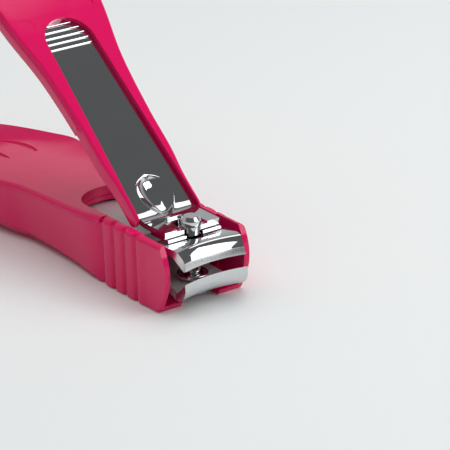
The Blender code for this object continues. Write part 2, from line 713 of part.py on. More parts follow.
def plate_half_width(u):
    """Clear of the arms near the bend, then spread under the frame that holds it."""
    spread = min(max((u - PADDLE_START) / (4.0 * MM), 0.0), 1.0)
    return window_half_width(u) - FIT_GAP + spread * PLATE_BORDER


def plate_outline(extra):
    end = WINDOW_LENGTH + WINDOW_END_HALF_WIDTH + PLATE_BORDER - FIT_GAP
    straight = [0.0, 0.5 * PADDLE_START, PADDLE_START, PADDLE_START + 4.0 * MM, WINDOW_LENGTH]
    side = [(u, plate_half_width(u) + extra) for u in straight]
    radius_x = end - WINDOW_LENGTH + extra
    radius_y = plate_half_width(WINDOW_LENGTH) + extra
    turns = [0.5 * math.pi * (1.0 - i / 8) for i in range(1, 9)]
    side += [(WINDOW_LENGTH + radius_x * math.cos(a), radius_y * math.sin(a)) for a in turns]
    return side + [(u, -y) for u, y in reversed(side[:-1])]


def dimple(name, widen, deepen, lift):
    """A teardrop pressed across the bend, as a solid from lift above the face down to its floor."""
    rows = [(1.0, 0.1, 0.1), (0.9, 0.55, 0.4), (0.72, 0.9, 0.75), (0.5, 1.0, 0.95), (0.3, 0.92, 1.0),
            (0.13, 0.72, 1.0), (0.02, 0.42, 0.75), (-0.07, 0.1, 0.15)]
    sections = []
    for share, width, depth in rows:
        u = share * DIMPLE_REAR
        half = max(width * DIMPLE_HALF_WIDTH + widen, 0.15 * MM)
        deep = depth * DIMPLE_DEPTH + deepen
        tilt = LEVER_ANGLE * min(max((share - 0.02) / 0.6, 0.0), 1.0)
        reach = min(u, 0.0)
        x0, _, z0 = on_lever(max(u, 0.0), 0.0, 0.0)
        turns = [math.pi * i / 10 for i in range(11)]
        ring = [(half * math.cos(a), -deep * math.sin(a)) for a in turns]
        ring += [(-half, lift), (half, lift)]
        sections.append([(x0 - reach + n * math.sin(tilt), y, z0 + n * math.cos(tilt)) for y, n in ring])
    return loft(name, sections)


def build_lever_plate(mat):
    plate = prism("lever_plate", plate_outline(0.0), -LEVER_THICKNESS, 0.0, on_lever, mat)
    low, high = BEND_HEIGHT - LEVER_THICKNESS, BEND_HEIGHT
    rear = BEND_X - LEVER_THICKNESS * math.sin(LEVER_ANGLE) - 0.4 * MM
    # The fork lies level in front of the bend, over the bend's own corner
    fork_rear = BEND_X - 0.05 * MM
    outline = [(rear, low), (FORK_FRONT_X, low), (FORK_FRONT_X, high), (fork_rear, high)]
    fork = prism("fork", outline, -FORK_HALF_WIDTH, FORK_HALF_WIDTH, sideways)
    lip_rear = POST_X - FORK_SLOT_LENGTH - 1.2 * MM
    cut(fork, box("lip_step", (lip_rear, -FORK_LIP_HALF_WIDTH, high - FORK_LIP_STEP),
                  (FORK_FRONT_X + 1.0 * MM, FORK_LIP_HALF_WIDTH, high + 1.0 * MM)))
    slot = POST_RADIUS + FIT_GAP
    turns = [0.5 * math.pi + math.pi * i / 12 for i in range(13)]
    rear_centre = POST_X - FORK_SLOT_LENGTH + slot
    outline = [(rear_centre + slot * math.cos(a), slot * math.sin(a)) for a in turns]
    outline += [(FORK_FRONT_X + 1.0 * MM, -slot), (FORK_FRONT_X + 1.0 * MM, slot)]
    cut(fork, prism("fork_slot", outline, low - 1.0 * MM, high + 1.0 * MM, upright))
    join(plate, fork)
    join(plate, dimple("dimple_bulge", 0.7 * LEVER_THICKNESS, LEVER_THICKNESS, -0.3 * MM))
    cut(plate, dimple("dimple_hollow", 0.0, 0.0, 1.5 * MM))
    for i in range(CROSS_GROOVE_COUNT):
        u = WINDOW_LENGTH - 0.4 * MM + i * CROSS_GROOVE_PITCH
        half = WINDOW_END_HALF_WIDTH
        outline = [(u, -half), (u + CROSS_GROOVE_WIDTH, -half), (u + CROSS_GROOVE_WIDTH, half), (u, half)]
        cut(plate, prism("cross_groove", outline, -CROSS_GROOVE_DEPTH, 1.0 * MM, on_lever))
    return smooth(plate)


def build_frame_top(mat):
    parting = FIT_GAP
    arms = lever_shell("lever_frame_top", -ARM_OVERHANG, PADDLE_START, lambda u: -ARM_DROP,
                       FRAME_PROUD, 0.0, 0.3 * MM, 0.6 * MM, mat)
    paddle = lever_shell("paddle_top", PADDLE_START - 1.0 * MM, LEVER_LENGTH, lambda u: parting,
                         FRAME_PROUD, 0.0, 0.0, 0.6 * MM)
    join(arms, paddle)
    cut(arms, window_cut())
    rest = []
    sweep = math.radians(52.0)
    for i in range(13):
        a = sweep - 2.0 * sweep * i / 12
        rest.append((WINDOW_LENGTH + THUMB_REST_RADIUS * math.cos(a), THUMB_REST_RADIUS * math.sin(a)))
    far = LEVER_LENGTH - THUMB_REST_BORDER
    side = [0.62 * LEVER_LENGTH + (far - 0.62 * LEVER_LENGTH) * math.sin(0.5 * math.pi * i / 10)
            for i in range(1, 11)]
    for u in side:
        rest.append((u, -max(frame_half_width(u + THUMB_REST_BORDER * 0.6) - THUMB_REST_BORDER, 0.6 * MM)))
    rest += [(u, -y) for u, y in reversed(rest[13:])]
    cut(arms, prism("thumb_rest", rest, FRAME_PROUD - THUMB_REST_DEPTH, FRAME_PROUD + 2.0 * MM, on_lever))
    return smooth(arms)


def build_frame_bottom(mat):
    tray = lever_shell("lever_frame_bottom", PADDLE_START + FIT_GAP, LEVER_LENGTH,
                       lambda u: -PADDLE_DROP, 0.0, 0.0, 0.6 * MM, 0.0, mat)
    cut(tray, prism("plate_pocket", plate_outline(FIT_GAP), -LEVER_THICKNESS - FIT_GAP, 2.0 * MM, on_lever))
    start = WINDOW_LENGTH + WINDOW_END_HALF_WIDTH + PLATE_BORDER + 2.5 * MM
    hollow = lever_shell("paddle_hollow", start, LEVER_LENGTH - 2.0 * MM, lambda u: -PADDLE_DROP + 1.0 * MM,
                         1.5 * MM, 1.6 * MM, 0.0, 0.0)
    cut(tray, hollow)
    return smooth(tray)


def main():
    clear_scene()
    pink = material("gloss_pink_plastic", (0.72, 0.01, 0.13), 0.25, 0.0)
    chrome = material("polished_chrome_steel", (0.62, 0.63, 0.64), 0.08, 1.0)
    grooves = rib_grooves()
    build_case_body(pink, grooves)
    build_cover(pink, grooves)
    build_tray(pink)
    build_lower_blade(chrome)
    build_rivet("rear_rivet_front", RIVET_X[0], chrome)
    build_rivet("rear_rivet_back", RIVET_X[1], chrome)
    flex_x = BLADE_REAR_X + BLADE_FLEX_INSET
    hang("upper_leaf_flex_line", (flex_x, 0.0, lower_blade_top(flex_x) + FIT_GAP), [build_upper_blade(chrome)])
    hang("post_turn_line", (POST_X, 0.0, 0.0), [build_post(chrome), build_collar(chrome)])
    lever = [build_lever_plate(chrome), build_frame_top(pink), build_frame_bottom(pink)]
    hang("lever_press_line", (POST_X, 0.0, POST_TOP - POST_CONE_HEIGHT - POST_BAND_HEIGHT), lever)


main()
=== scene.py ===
import math
import bmesh
import bpy
from mathutils import Matrix, Vector


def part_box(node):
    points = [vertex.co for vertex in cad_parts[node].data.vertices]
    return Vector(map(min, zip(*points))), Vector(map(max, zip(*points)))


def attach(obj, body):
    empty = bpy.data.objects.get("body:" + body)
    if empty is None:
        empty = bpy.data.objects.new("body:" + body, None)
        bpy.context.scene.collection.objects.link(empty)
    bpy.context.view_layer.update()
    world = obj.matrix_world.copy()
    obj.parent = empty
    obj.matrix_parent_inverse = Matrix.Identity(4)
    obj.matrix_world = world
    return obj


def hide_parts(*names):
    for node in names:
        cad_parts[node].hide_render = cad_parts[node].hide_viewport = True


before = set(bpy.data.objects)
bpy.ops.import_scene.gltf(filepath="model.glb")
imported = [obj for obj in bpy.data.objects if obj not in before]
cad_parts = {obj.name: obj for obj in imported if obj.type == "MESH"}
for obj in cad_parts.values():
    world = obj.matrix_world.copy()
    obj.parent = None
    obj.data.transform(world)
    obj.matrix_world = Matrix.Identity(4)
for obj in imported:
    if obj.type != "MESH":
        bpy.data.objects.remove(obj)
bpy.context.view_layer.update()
mm = 0.001


def newPiece(name, bm, finish):
    mesh = bpy.data.meshes.new(name)
    bm.to_mesh(mesh)
    bm.free()
    mesh.materials.append(finish)
    piece = bpy.data.objects.new(name, mesh)
    bpy.context.scene.collection.objects.link(piece)
    return piece


def faceOut(bm):
    bmesh.ops.remove_doubles(bm, verts=bm.verts, dist=0.00001 * mm)
    bmesh.ops.recalc_face_normals(bm, faces=bm.faces)


def closedLoop(bm, points):
    verts = [bm.verts.new(p) for p in points]
    return [bm.edges.new((a, b)) for a, b in zip(verts, verts[1:] + verts[:1])]


def loftMesh(sections):
    # each neighbouring pair of rings is bridged, then the two ends are filled
    bm = bmesh.new()
    rings = [closedLoop(bm, points) for points in sections]
    for first, second in zip(rings, rings[1:]):
        bmesh.ops.bridge_loops(bm, edges=first + second)
    for ring in (rings[0], rings[-1]):
        bmesh.ops.contextual_create(bm, geom=ring)
    faceOut(bm)
    return bm


def pushed(outline, low, high, place):
    # a flat outline filled once and extruded from one level to the other
    bm = bmesh.new()
    ring = closedLoop(bm, [place(a, b, low) for a, b in outline])
    face = bmesh.ops.contextual_create(bm, geom=ring)["faces"]
    made = bmesh.ops.extrude_face_region(bm, geom=face)["geom"]
    step = Vector(place(0, 0, high)) - Vector(place(0, 0, low))
    bmesh.ops.translate(bm, vec=step, verts=[v for v in made if isinstance(v, bmesh.types.BMVert)])
    faceOut(bm)
    return bm


def turnedMesh(profile, x, steps, closed=False):
    bm = bmesh.new()
    verts = [bm.verts.new((x + r, 0, z)) for r, z in profile]
    ends = verts[1:] + verts[:1] if closed else verts[1:]
    edges = [bm.edges.new(pair) for pair in zip(verts, ends)]
    bmesh.ops.spin(bm, geom=verts + edges, cent=(x, 0, 0), axis=(0, 0, 1), angle=math.tau,
                   steps=steps, use_merge=True)
    faceOut(bm)
    return bm


def bakeShape(piece):
    # the modifiers so far become the mesh
    graph = bpy.context.evaluated_depsgraph_get()
    shaped = bpy.data.meshes.new_from_object(piece.evaluated_get(graph))
    old = piece.data
    piece.modifiers.clear()
    piece.data = shaped
    bpy.data.meshes.remove(old)


def carve(piece, tools, operation="DIFFERENCE"):
    cutters = []
    for i, bm in enumerate(tools):
        mesh = bpy.data.meshes.new("cutter")
        bm.to_mesh(mesh)
        bm.free()
        cutter = bpy.data.objects.new("cutter", mesh)
        bpy.context.scene.collection.objects.link(cutter)
        cutters.append(cutter)
        modifier = piece.modifiers.new("carve" + str(i), "BOOLEAN")
        modifier.operation = operation
        modifier.solver = "EXACT"
        modifier.object = cutter
    bakeShape(piece)
    for cutter in cutters:
        mesh = cutter.data
        bpy.data.objects.remove(cutter)
        bpy.data.meshes.remove(mesh)


def flatten(piece, where):
    # faces in one plane become one face
    bm = bmesh.new()
    bm.from_mesh(piece.data)
    verts = [v for v in bm.verts if where(v)]
    near = set(verts)
    edges = [e for e in bm.edges if e.verts[0] in near and e.verts[1] in near]
    bmesh.ops.dissolve_limit(bm, angle_limit=math.radians(0.2), verts=verts, edges=edges)
    bm.to_mesh(piece.data)
    bm.free()


def softenEdges(piece, width, segments=3, degrees=32):
    piece.data.shade_smooth()
    modifier = piece.modifiers.new("softened edges", "BEVEL")
    modifier.width = width
    modifier.segments = segments
    modifier.limit_method = "ANGLE"
    modifier.angle_limit = math.radians(degrees)
    modifier.harden_normals = True
    modifier.miter_outer = "MITER_ARC"
    return piece


def evenNormals(piece):
    # large flat faces keep their own normals and the small rounds blend between them
    if "custom_normal" in piece.data.attributes:
        piece.data.attributes.remove(piece.data.attributes["custom_normal"])
    piece.data.shade_smooth()
    modifier = piece.modifiers.new("even normals", "WEIGHTED_NORMAL")
    modifier.weight = 80


def standIn(piece, body, slot, *nodes):
    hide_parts(*nodes)
    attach(piece, body)
    print("made", piece.name, len(piece.data.polygons), "faces")


def tidyCopy(node, name, finish):
    # a CAD node's own mesh, merged and with its flat faces made whole
    bm = bmesh.new()
    bm.from_mesh(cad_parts[node].data)
    bmesh.ops.remove_doubles(bm, verts=bm.verts, dist=0.001 * mm)
    bmesh.ops.dissolve_limit(bm, angle_limit=math.radians(1.5), verts=bm.verts, edges=bm.edges)
    return newPiece(name, bm, finish)


def through(table, x):
    # a smooth curve through rows of (place, size)
    if x <= table[0][0]:
        return table[0][1]
    if x >= table[-1][0]:
        return table[-1][1]
    i = max(k for k in range(len(table) - 1) if table[k][0] <= x)
    slopes = []
    for k in (i, i + 1):
        a, b = max(k - 1, 0), min(k + 1, len(table) - 1)
        slopes.append((table[b][1] - table[a][1]) / (table[b][0] - table[a][0]))
    (x0, y0), (x1, y1) = table[i], table[i + 1]
    width = x1 - x0
    t = (x - x0) / width
    bend = (y0 - y1) * 2 + (slopes[0] + slopes[1]) * width
    rise = (y1 - y0) * 3 - (2 * slopes[0] + slopes[1]) * width
    return y0 + slopes[0] * width * t + rise * t * t + bend * t * t * t


def ease(t):
    t = min(max(t, 0), 1)
    return t * t * (3 - 2 * t)


def upright(a, b, level):
    return (a, b, level)


def sideways(a, b, level):
    return (a, level, b)


def hexColour(text):
    parts = [int(text[i:i + 2], 16) / 255 for i in (0, 2, 4)]
    linear = [c / 12.92 if c <= 0.04045 else ((c + 0.055) / 1.055) ** 2.4 for c in parts]
    return (*linear, 1)


def addNode(tree, kind, settings, links=()):
    # settings go to sockets by name, or to the node itself; links are (output, the node's own socket)
    node = tree.nodes.new(kind)
    for name, value in settings.items():
        if name in node.inputs:
            node.inputs[name].default_value = value
        else:
            setattr(node, name, value)
    for output, socket in links:
        tree.links.new(output, node.inputs[socket])
    return node


def startFinish(name, settings):
    finish = bpy.data.materials.new(name)
    finish.use_nodes = True
    shader = finish.node_tree.nodes["Principled BSDF"]
    for socket, value in settings.items():
        shader.inputs[socket].default_value = value
    return finish, finish.node_tree, shader


plasticLook = {
    "pink": "E31061",
    "pinkDeep": "DB0D5B",
    "pebble": 0.35 * mm,       # mould texture, about what a fine spark-eroded mould leaves
    "flow": 14 * mm,           # slow swirls where the melt met
    "rub": 5 * mm,             # patches dulled by handling
    "rubGloss": (0.07, 0.13),
    "bumpDepth": 0.0035 * mm,
}


def glossPinkAbs(name):
    # injection-moulded ABS, polished mould: a deep even pink under a sharp clear gloss,
    # with a faint orange-peel waver and a few dull handling rubs
    look = plasticLook
    finish, tree, shader = startFinish(name, {
        "IOR": 1.47, "Metallic": 0, "Specular IOR Level": 0.42})
    place = addNode(tree, "ShaderNodeTexCoord", {})
    flow = addNode(tree, "ShaderNodeTexNoise", {"Scale": 1 / look["flow"], "Detail": 3, "Roughness": 0.5},
                   [(place.outputs["Object"], "Vector")])
    tint = addNode(tree, "ShaderNodeMix", {"data_type": "RGBA"}, [(flow.outputs["Fac"], "Factor")])
    tint.inputs[6].default_value = hexColour(look["pink"])
    tint.inputs[7].default_value = hexColour(look["pinkDeep"])
    tree.links.new(tint.outputs[2], shader.inputs["Base Color"])
    rub = addNode(tree, "ShaderNodeTexNoise", {"Scale": 1 / look["rub"], "Detail": 6, "Roughness": 0.65},
                  [(place.outputs["Object"], "Vector")])
    dull, glossy = look["rubGloss"][1], look["rubGloss"][0]
    gloss = addNode(tree, "ShaderNodeMapRange",
                    {"From Min": 0.35, "From Max": 0.75, "To Min": glossy, "To Max": dull},
                    [(rub.outputs["Fac"], "Value")])
    tree.links.new(gloss.outputs["Result"], shader.inputs["Roughness"])
    peel = addNode(tree, "ShaderNodeTexNoise", {"Scale": 1 / look["pebble"], "Detail": 2},
                   [(place.outputs["Object"], "Vector")])
    bump = addNode(tree, "ShaderNodeBump", {"Strength": 0.35, "Distance": look["bumpDepth"]},
                   [(peel.outputs["Fac"], "Height")])
    tree.links.new(bump.outputs["Normal"], shader.inputs["Normal"])
    return finish


steelLook = {
    "chrome": "DDDEDF",
    "chromeShade": "CFD1D3",
    "ground": "D5D6D7",
    "wave": 9 * mm,            # slow press waves left under the plating
    "scuff": 0.5 * mm,
    "grit": 0.14 * mm,         # grinding lines on the edge, drawn at twice their width so they show
    "gritStretch": 0.06,
    "gritDepth": 0.003 * mm,
}


def polishedChrome(name, roughLow=0.035, roughHigh=0.09, metal=1):
    # chromium on pressed and polished carbon steel: a near mirror, with slow press waves
    # and a light haze of polishing scuffs
    look = steelLook
    finish, tree, shader = startFinish(name, {"Metallic": metal})
    place = addNode(tree, "ShaderNodeTexCoord", {})
    cloud = addNode(tree, "ShaderNodeTexNoise", {"Scale": 1 / look["wave"], "Detail": 4},
                    [(place.outputs["Object"], "Vector")])
    tint = addNode(tree, "ShaderNodeMix", {"data_type": "RGBA"}, [(cloud.outputs["Fac"], "Factor")])
    tint.inputs[6].default_value = hexColour(look["chrome"])
    tint.inputs[7].default_value = hexColour(look["chromeShade"])
    tree.links.new(tint.outputs[2], shader.inputs["Base Color"])
    scuff = addNode(tree, "ShaderNodeTexNoise", {"Scale": 1 / look["scuff"], "Detail": 8, "Roughness": 0.7},
                    [(place.outputs["Object"], "Vector")])
    haze = addNode(tree, "ShaderNodeMapRange",
                   {"From Min": 0.4, "From Max": 0.8, "To Min": roughLow, "To Max": roughHigh},
                   [(scuff.outputs["Fac"], "Value")])
    tree.links.new(haze.outputs["Result"], shader.inputs["Roughness"])
    return finish


def groundSteel(name):
    # the same steel ground after plating along the cutting edge: fine lines across the bevel
    # that spread the light up and down it
    look = steelLook
    finish, tree, shader = startFinish(name, {"Metallic": 1, "Base Color": hexColour(look["ground"])})
    place = addNode(tree, "ShaderNodeTexCoord", {})
    along = addNode(tree, "ShaderNodeMapping", {"Scale": (1, 1, look["gritStretch"])},
                    [(place.outputs["Object"], "Vector")])
    lines = addNode(tree, "ShaderNodeTexNoise", {"Scale": 1 / look["grit"], "Detail": 4},
                    [(along.outputs["Vector"], "Vector")])
    rough = addNode(tree, "ShaderNodeMapRange", {"To Min": 0.22, "To Max": 0.36},
                    [(lines.outputs["Fac"], "Value")])
    tree.links.new(rough.outputs["Result"], shader.inputs["Roughness"])
    bump = addNode(tree, "ShaderNodeBump", {"Strength": 0.4, "Distance": look["gritDepth"]},
                   [(lines.outputs["Fac"], "Height")])
    tree.links.new(bump.outputs["Normal"], shader.inputs["Normal"])
    return finish


pinkCase = glossPinkAbs("gloss pink ABS, moulded case")
pinkLever = glossPinkAbs("gloss pink ABS, moulded lever frame")
chrome = polishedChrome("polished chrome plate on pressed steel")
turnedChrome = polishedChrome("chrome plate on turned steel", 0.06, 0.14)
satinSteel = polishedChrome("satin chrome plate on unpolished steel", 0.4, 0.55, 0.35)
edgeSteel = groundSteel("ground steel cutting edge")
print("finishes ready")


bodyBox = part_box("case_body")
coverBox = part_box("case_top_cover")
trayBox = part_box("case_bottom_tray")
caseSize = {
    "rear": bodyBox[0].x,
    "front": bodyBox[1].x,
    "top": bodyBox[1].z,
    "coverFront": coverBox[1].x,
    "trayFront": trayBox[1].x,
    "head": 10 * mm,
    "ribProud": 0.4 * mm,
    "waist": 11.5 * mm,
    "belly": 14.72 * mm,
    "bellyX": -20 * mm,
    "footTaper": 1.5 * mm,
    "wall": 1.4 * mm,
    "fall": 0.049,
    "heelFall": 2.8,
    "heelStart": 0.84,         # share of the way to the rear where the round end begins
    "chamferFront": 0.9 * mm,
    "chamferGrowth": 0.06,
    "rim": 1.2 * mm,
    "plug": 0.8 * mm,
    "fillet": 1.0 * mm,
    "seam": 0.05 * mm,
    "ribs": (40 * mm, 3.85 * mm, 4),      # first valley, pitch, count
    "ribValley": (0.75 * mm, 0.4 * mm),   # depth and half width
    "ribCrown": (0.12 * mm, 1.2 * mm),
    "ribInner": 8.6 * mm,
    "slotHalf": 8.2 * mm,
    "slotX": 20.9 * mm,
    "floor": 1.2 * mm,
    "cheekWall": 1.25 * mm,
    "notchHalf": 4.4 * mm,
    "notchX": 41 * mm,
    "headFront": 47 * mm,
    "headChamfer": 0.5 * mm,
    "cheekRoomX": 41.5 * mm,
    "bridgeRear": 5 * mm,
    "softEdge": 0.42 * mm,
}


def caseTop(x):
    s = caseSize
    heel = max(s["bellyX"] - 4 * mm - x, 0)
    return s["top"] - s["fall"] * max(s["coverFront"] - x, 0) - s["heelFall"] * heel * heel


def heelShare(x):
    start, rear = caseSize["heelStart"] * caseSize["rear"], caseSize["rear"]
    if x >= start:
        return 1
    t = (start - x) / (start - rear)
    return max(math.sqrt(max(1 - t * t, 0)), 0.28)


def topHalf(x):
    s = caseSize
    spread = s["belly"] - s["head"]
    ribRear = s["coverFront"]
    return heelShare(x) * through([
        (s["rear"], 0.86 * s["head"]),
        (0.86 * s["rear"], s["head"]),
        (1.65 * s["bellyX"], s["head"] + 0.38 * spread),
        (1.3 * s["bellyX"], s["head"] + 0.7 * spread),
        (s["bellyX"], s["belly"]),
        (0.6 * s["bellyX"], s["head"] + 0.79 * spread),
        (0.25 * s["bellyX"], s["waist"] + 1.2 * mm),
        (0, s["waist"] + 0.25 * mm),
        (6 * mm, s["waist"]),
        (ribRear - 10 * mm, s["waist"] - 0.1 * mm),
        (ribRear - 4 * mm, s["waist"] - 0.35 * mm),
        (ribRear, s["head"] + s["ribProud"]),
        (42 * mm, s["head"] + s["ribProud"] * 0.5),
        (43.2 * mm, s["head"]),
        (s["front"], s["head"]),
    ], x)


def footHalf(x):
    s = caseSize
    return topHalf(x) - heelShare(x) * through([
        (1.5 * s["bellyX"], 0.6 * s["footTaper"]),
        (s["bellyX"], 0.6 * s["footTaper"]),
        (0.35 * s["bellyX"], 0.5 * s["footTaper"]),
        (0, 0.8 * s["footTaper"]),
        (8 * mm, s["footTaper"]),
        (s["coverFront"] - 10 * mm, s["footTaper"]),
        (s["coverFront"], 0.2 * s["footTaper"]),
        (s["coverFront"] + 2 * mm, 0),
    ], x)


def ribDip(x):
    # narrow rounded valleys between softly crowned ribs
    first, pitch, count = caseSize["ribs"]
    shapes = (caseSize["ribValley"], caseSize["ribCrown"])
    dip = 0
    for i in range(count):
        away = abs(x - (first - i * pitch))
        valley, crown = [depth * math.exp(-(away / width) ** 2) for depth, width in shapes]
        dip = max(dip, valley + crown)
    return dip


def chamferHeight(x):
    s = caseSize
    return s["chamferFront"] + s["chamferGrowth"] * max(s["trayFront"] - x, 0)


def sideHalf(x, z):
    low, high = chamferHeight(x), caseTop(x)
    share = min(max((z - low) / (high - low), 0), 1)
    return footHalf(x) + share * (topHalf(x) - footHalf(x))


def baseHalf(x):
    return footHalf(x) - min(0.95 * chamferHeight(x), 0.6 * footHalf(x))


def caseStations(start, end, step):
    heel, rear = caseSize["heelStart"] * caseSize["rear"], caseSize["rear"]
    places = [heel + (rear - heel) * math.sin(math.pi * i / 28) for i in range(14, 0, -1)]
    count = int((caseSize["front"] - heel) / step)
    places += [heel + (caseSize["front"] - heel) * i / count for i in range(count + 1)]
    return [start] + [x for x in places if start + 0.3 * step < x < end - 0.3 * step] + [end]


def caseShell(start, end, low, high, width, fillet=0, chamfer=0, step=1.0 * mm, turns=6):
    sections = []
    for x in caseStations(start, end, step):
        bottom, top = low(x), high(x)
        half = []
        if chamfer:
            half += [(width(x, bottom) - chamfer, bottom),
                     (width(x, bottom) - 0.3 * chamfer, bottom + 0.3 * chamfer)]
        half += [(width(x, bottom + chamfer), bottom + chamfer)]
        for k in (1, 2):
            z = bottom + chamfer + (top - fillet - bottom - chamfer) * k / 3
            half.append((width(x, z), z))
        if fillet:
            for k in range(turns + 1):
                a = math.pi * k / (2 * turns)
                half.append((width(x, top) - fillet * (1 - math.cos(a)), top - fillet * (1 - math.sin(a))))
        else:
            half.append((width(x, top), top))
        sections.append([(x, y, z) for y, z in half] + [(x, -y, z) for y, z in reversed(half)])
    return loftMesh(sections)


def boxMesh(low, high):
    bm = bmesh.new()
    bmesh.ops.create_cube(bm, size=1)
    size = [b - a for a, b in zip(low, high)]
    bmesh.ops.scale(bm, vec=size, verts=bm.verts)
    bmesh.ops.translate(bm, vec=[(a + b) / 2 for a, b in zip(low, high)], verts=bm.verts)
    return bm


def leverSlot(low):
    s = caseSize
    turns = [math.pi / 2 + math.pi * i / 48 for i in range(49)]
    outline = [(s["slotX"] + s["slotHalf"] * math.cos(a), s["slotHalf"] * math.sin(a)) for a in turns]
    front = s["coverFront"] + 2 * mm
    outline += [(front, -s["slotHalf"]), (front, s["slotHalf"])]
    return pushed(outline, low, s["top"] + 2 * mm, upright)


def cheekFront():
    s = caseSize
    outline = [(s["headFront"] - 0.4 * mm, -mm)]
    for i in range(41):
        z = (s["top"] + mm) * i / 40
        share = math.sin(math.pi * min(z / (1.18 * s["top"]), 1))
        outline.append((s["headFront"] + (s["front"] - s["headFront"]) * share, z))
    far = s["front"] + 6 * mm
    outline += [(far, s["top"] + mm), (far, -mm)]
    return pushed(outline, -12 * mm, 12 * mm, sideways)


def underCover(x):
    return caseTop(x) - caseSize["rim"]


def hollowHalf(x):
    s = caseSize
    clear = footHalf(x) - s["wall"]
    t = min(max((x - s["slotX"] + s["slotHalf"]) / s["slotHalf"], 0), 1)
    return (1 - t) * clear + t * min(s["slotHalf"], clear)


def pressRibs(body):
    # the sides are sliced finely across the ribs, then drawn in along each valley
    bm = bmesh.new()
    bm.from_mesh(body.data)
    first, pitch, count = caseSize["ribs"]
    for i in range(count):
        for k in range(-9, 10):
            x = first - i * pitch + 0.18 * mm * k
            if x < caseSize["coverFront"] + 0.2 * mm:
                continue
            bmesh.ops.bisect_plane(bm, geom=bm.verts[:] + bm.edges[:] + bm.faces[:], dist=0.00001 * mm,
                                   plane_co=(x, 0, 0), plane_no=(1, 0, 0))
    for vert in bm.verts:
        share = ease((abs(vert.co.y) - caseSize["ribInner"]) / mm)
        vert.co.y -= math.copysign(share * ribDip(vert.co.x), vert.co.y)
    bm.to_mesh(body.data)
    bm.free()
    evenNormals(body)


def makeCaseBody():
    s = caseSize
    seam = s["seam"]
    headRear = s["coverFront"] + 0.1 * mm
    neckRear = s["trayFront"] + 0.3 * mm
    chamfer = s["headChamfer"]
    body = newPiece("ribbed_case_body", caseShell(
        headRear, s["front"], lambda x: 0, lambda x: s["top"], sideHalf, s["fillet"], chamfer,
        turns=3), pinkCase)
    neck = caseShell(neckRear, headRear + mm, lambda x: 0, lambda x: underCover(x) - seam, sideHalf,
                     0, chamfer)
    rear = newPiece("rear_walls", caseShell(
        s["rear"], neckRear + mm, lambda x: chamferHeight(x) + seam, lambda x: underCover(x) - seam,
        sideHalf), pinkCase)
    bridge = caseShell(s["bridgeRear"], s["coverFront"], lambda x: bladeTop(x) + 0.5 * mm,
                       lambda x: underCover(x) - s["plug"] - 0.1 * mm, lambda x, z: footHalf(x) - 0.4 * mm)
    carve(rear, [caseShell(s["rear"] + s["wall"], neckRear + 2 * mm, lambda x: -2 * mm,
                           lambda x: s["top"] + 2 * mm, lambda x, z: hollowHalf(x))])
    carve(rear, [bridge], "UNION")
    carve(rear, [leverSlot(mm)])
    rearMesh = bmesh.new()
    rearMesh.from_mesh(rear.data)
    bpy.data.objects.remove(rear)
    carve(body, [neck, rearMesh], "UNION")
    room = s["slotHalf"] + 0.1 * mm
    cheek = s["head"] - s["cheekWall"]
    carve(body, [
        boxMesh((neckRear - 4 * mm, -room, s["floor"]), (s["front"] + 3 * mm, room, s["top"] + 3 * mm)),
        boxMesh((s["cheekRoomX"], -cheek, s["floor"]), (s["front"] + 3 * mm, cheek, s["top"] + 3 * mm)),
        boxMesh((s["notchX"], -s["notchHalf"], -mm), (s["front"] + 3 * mm, s["notchHalf"], s["floor"] + mm)),
        cheekFront(),
    ])
    flatten(body, lambda v: True)
    softenEdges(body, s["softEdge"], 4)
    bakeShape(body)
    pressRibs(body)
    standIn(body, "case", "gloss_plastic_pink", "case_body")


gripSize = {
    "tip": -17 * mm,
    "length": 11.7 * mm,
    "radius": 0.85 * mm,
    "apart": [(0, 3.4 * mm), (0.3, 3.62 * mm), (0.6, 3.45 * mm), (0.85, 2.55 * mm), (1, 1.3 * mm)],
}


def makeCover():
    s, grip = caseSize, gripSize
    cover = newPiece("grip_cover", caseShell(
        s["rear"], s["coverFront"], underCover, caseTop, sideHalf, s["fillet"]), pinkCase)
    plug = caseShell(s["rear"] + 1.7 * mm, s["coverFront"] - 4 * mm, lambda x: underCover(x) - s["plug"],
                     lambda x: caseTop(x) - 0.5 * mm, lambda x, z: hollowHalf(x) - 0.3 * mm)
    carve(cover, [plug], "UNION")
    tools = [leverSlot(mm)]
    for side in (-1, 1):
        # finger grooves: a pair of facing crescents, deepest in the middle
        rings = []
        for i in range(25):
            t = i / 24
            x = grip["tip"] - grip["length"] * t
            y = side * through(grip["apart"], t)
            size = grip["radius"] * math.sin(math.pi * (0.04 + 0.92 * t)) ** 0.5
            z = caseTop(x) + 0.12 * mm
            turns = [math.tau * k / 14 for k in range(14)]
            rings.append([(x, y + size * math.cos(a), z + size * math.sin(a)) for a in turns])
        tools.append(loftMesh(rings))
    carve(cover, tools)
    softenEdges(cover, 0.28 * mm, 3)
    standIn(cover, "case", "gloss_plastic_pink", "case_top_cover")


traySize = {
    "floor": 1.3 * mm,
    "gap": 0.3 * mm,
    "lipWall": 0.9 * mm,
    "lipRear": 1.7 * mm,
    "lipFront": 4 * mm,
}


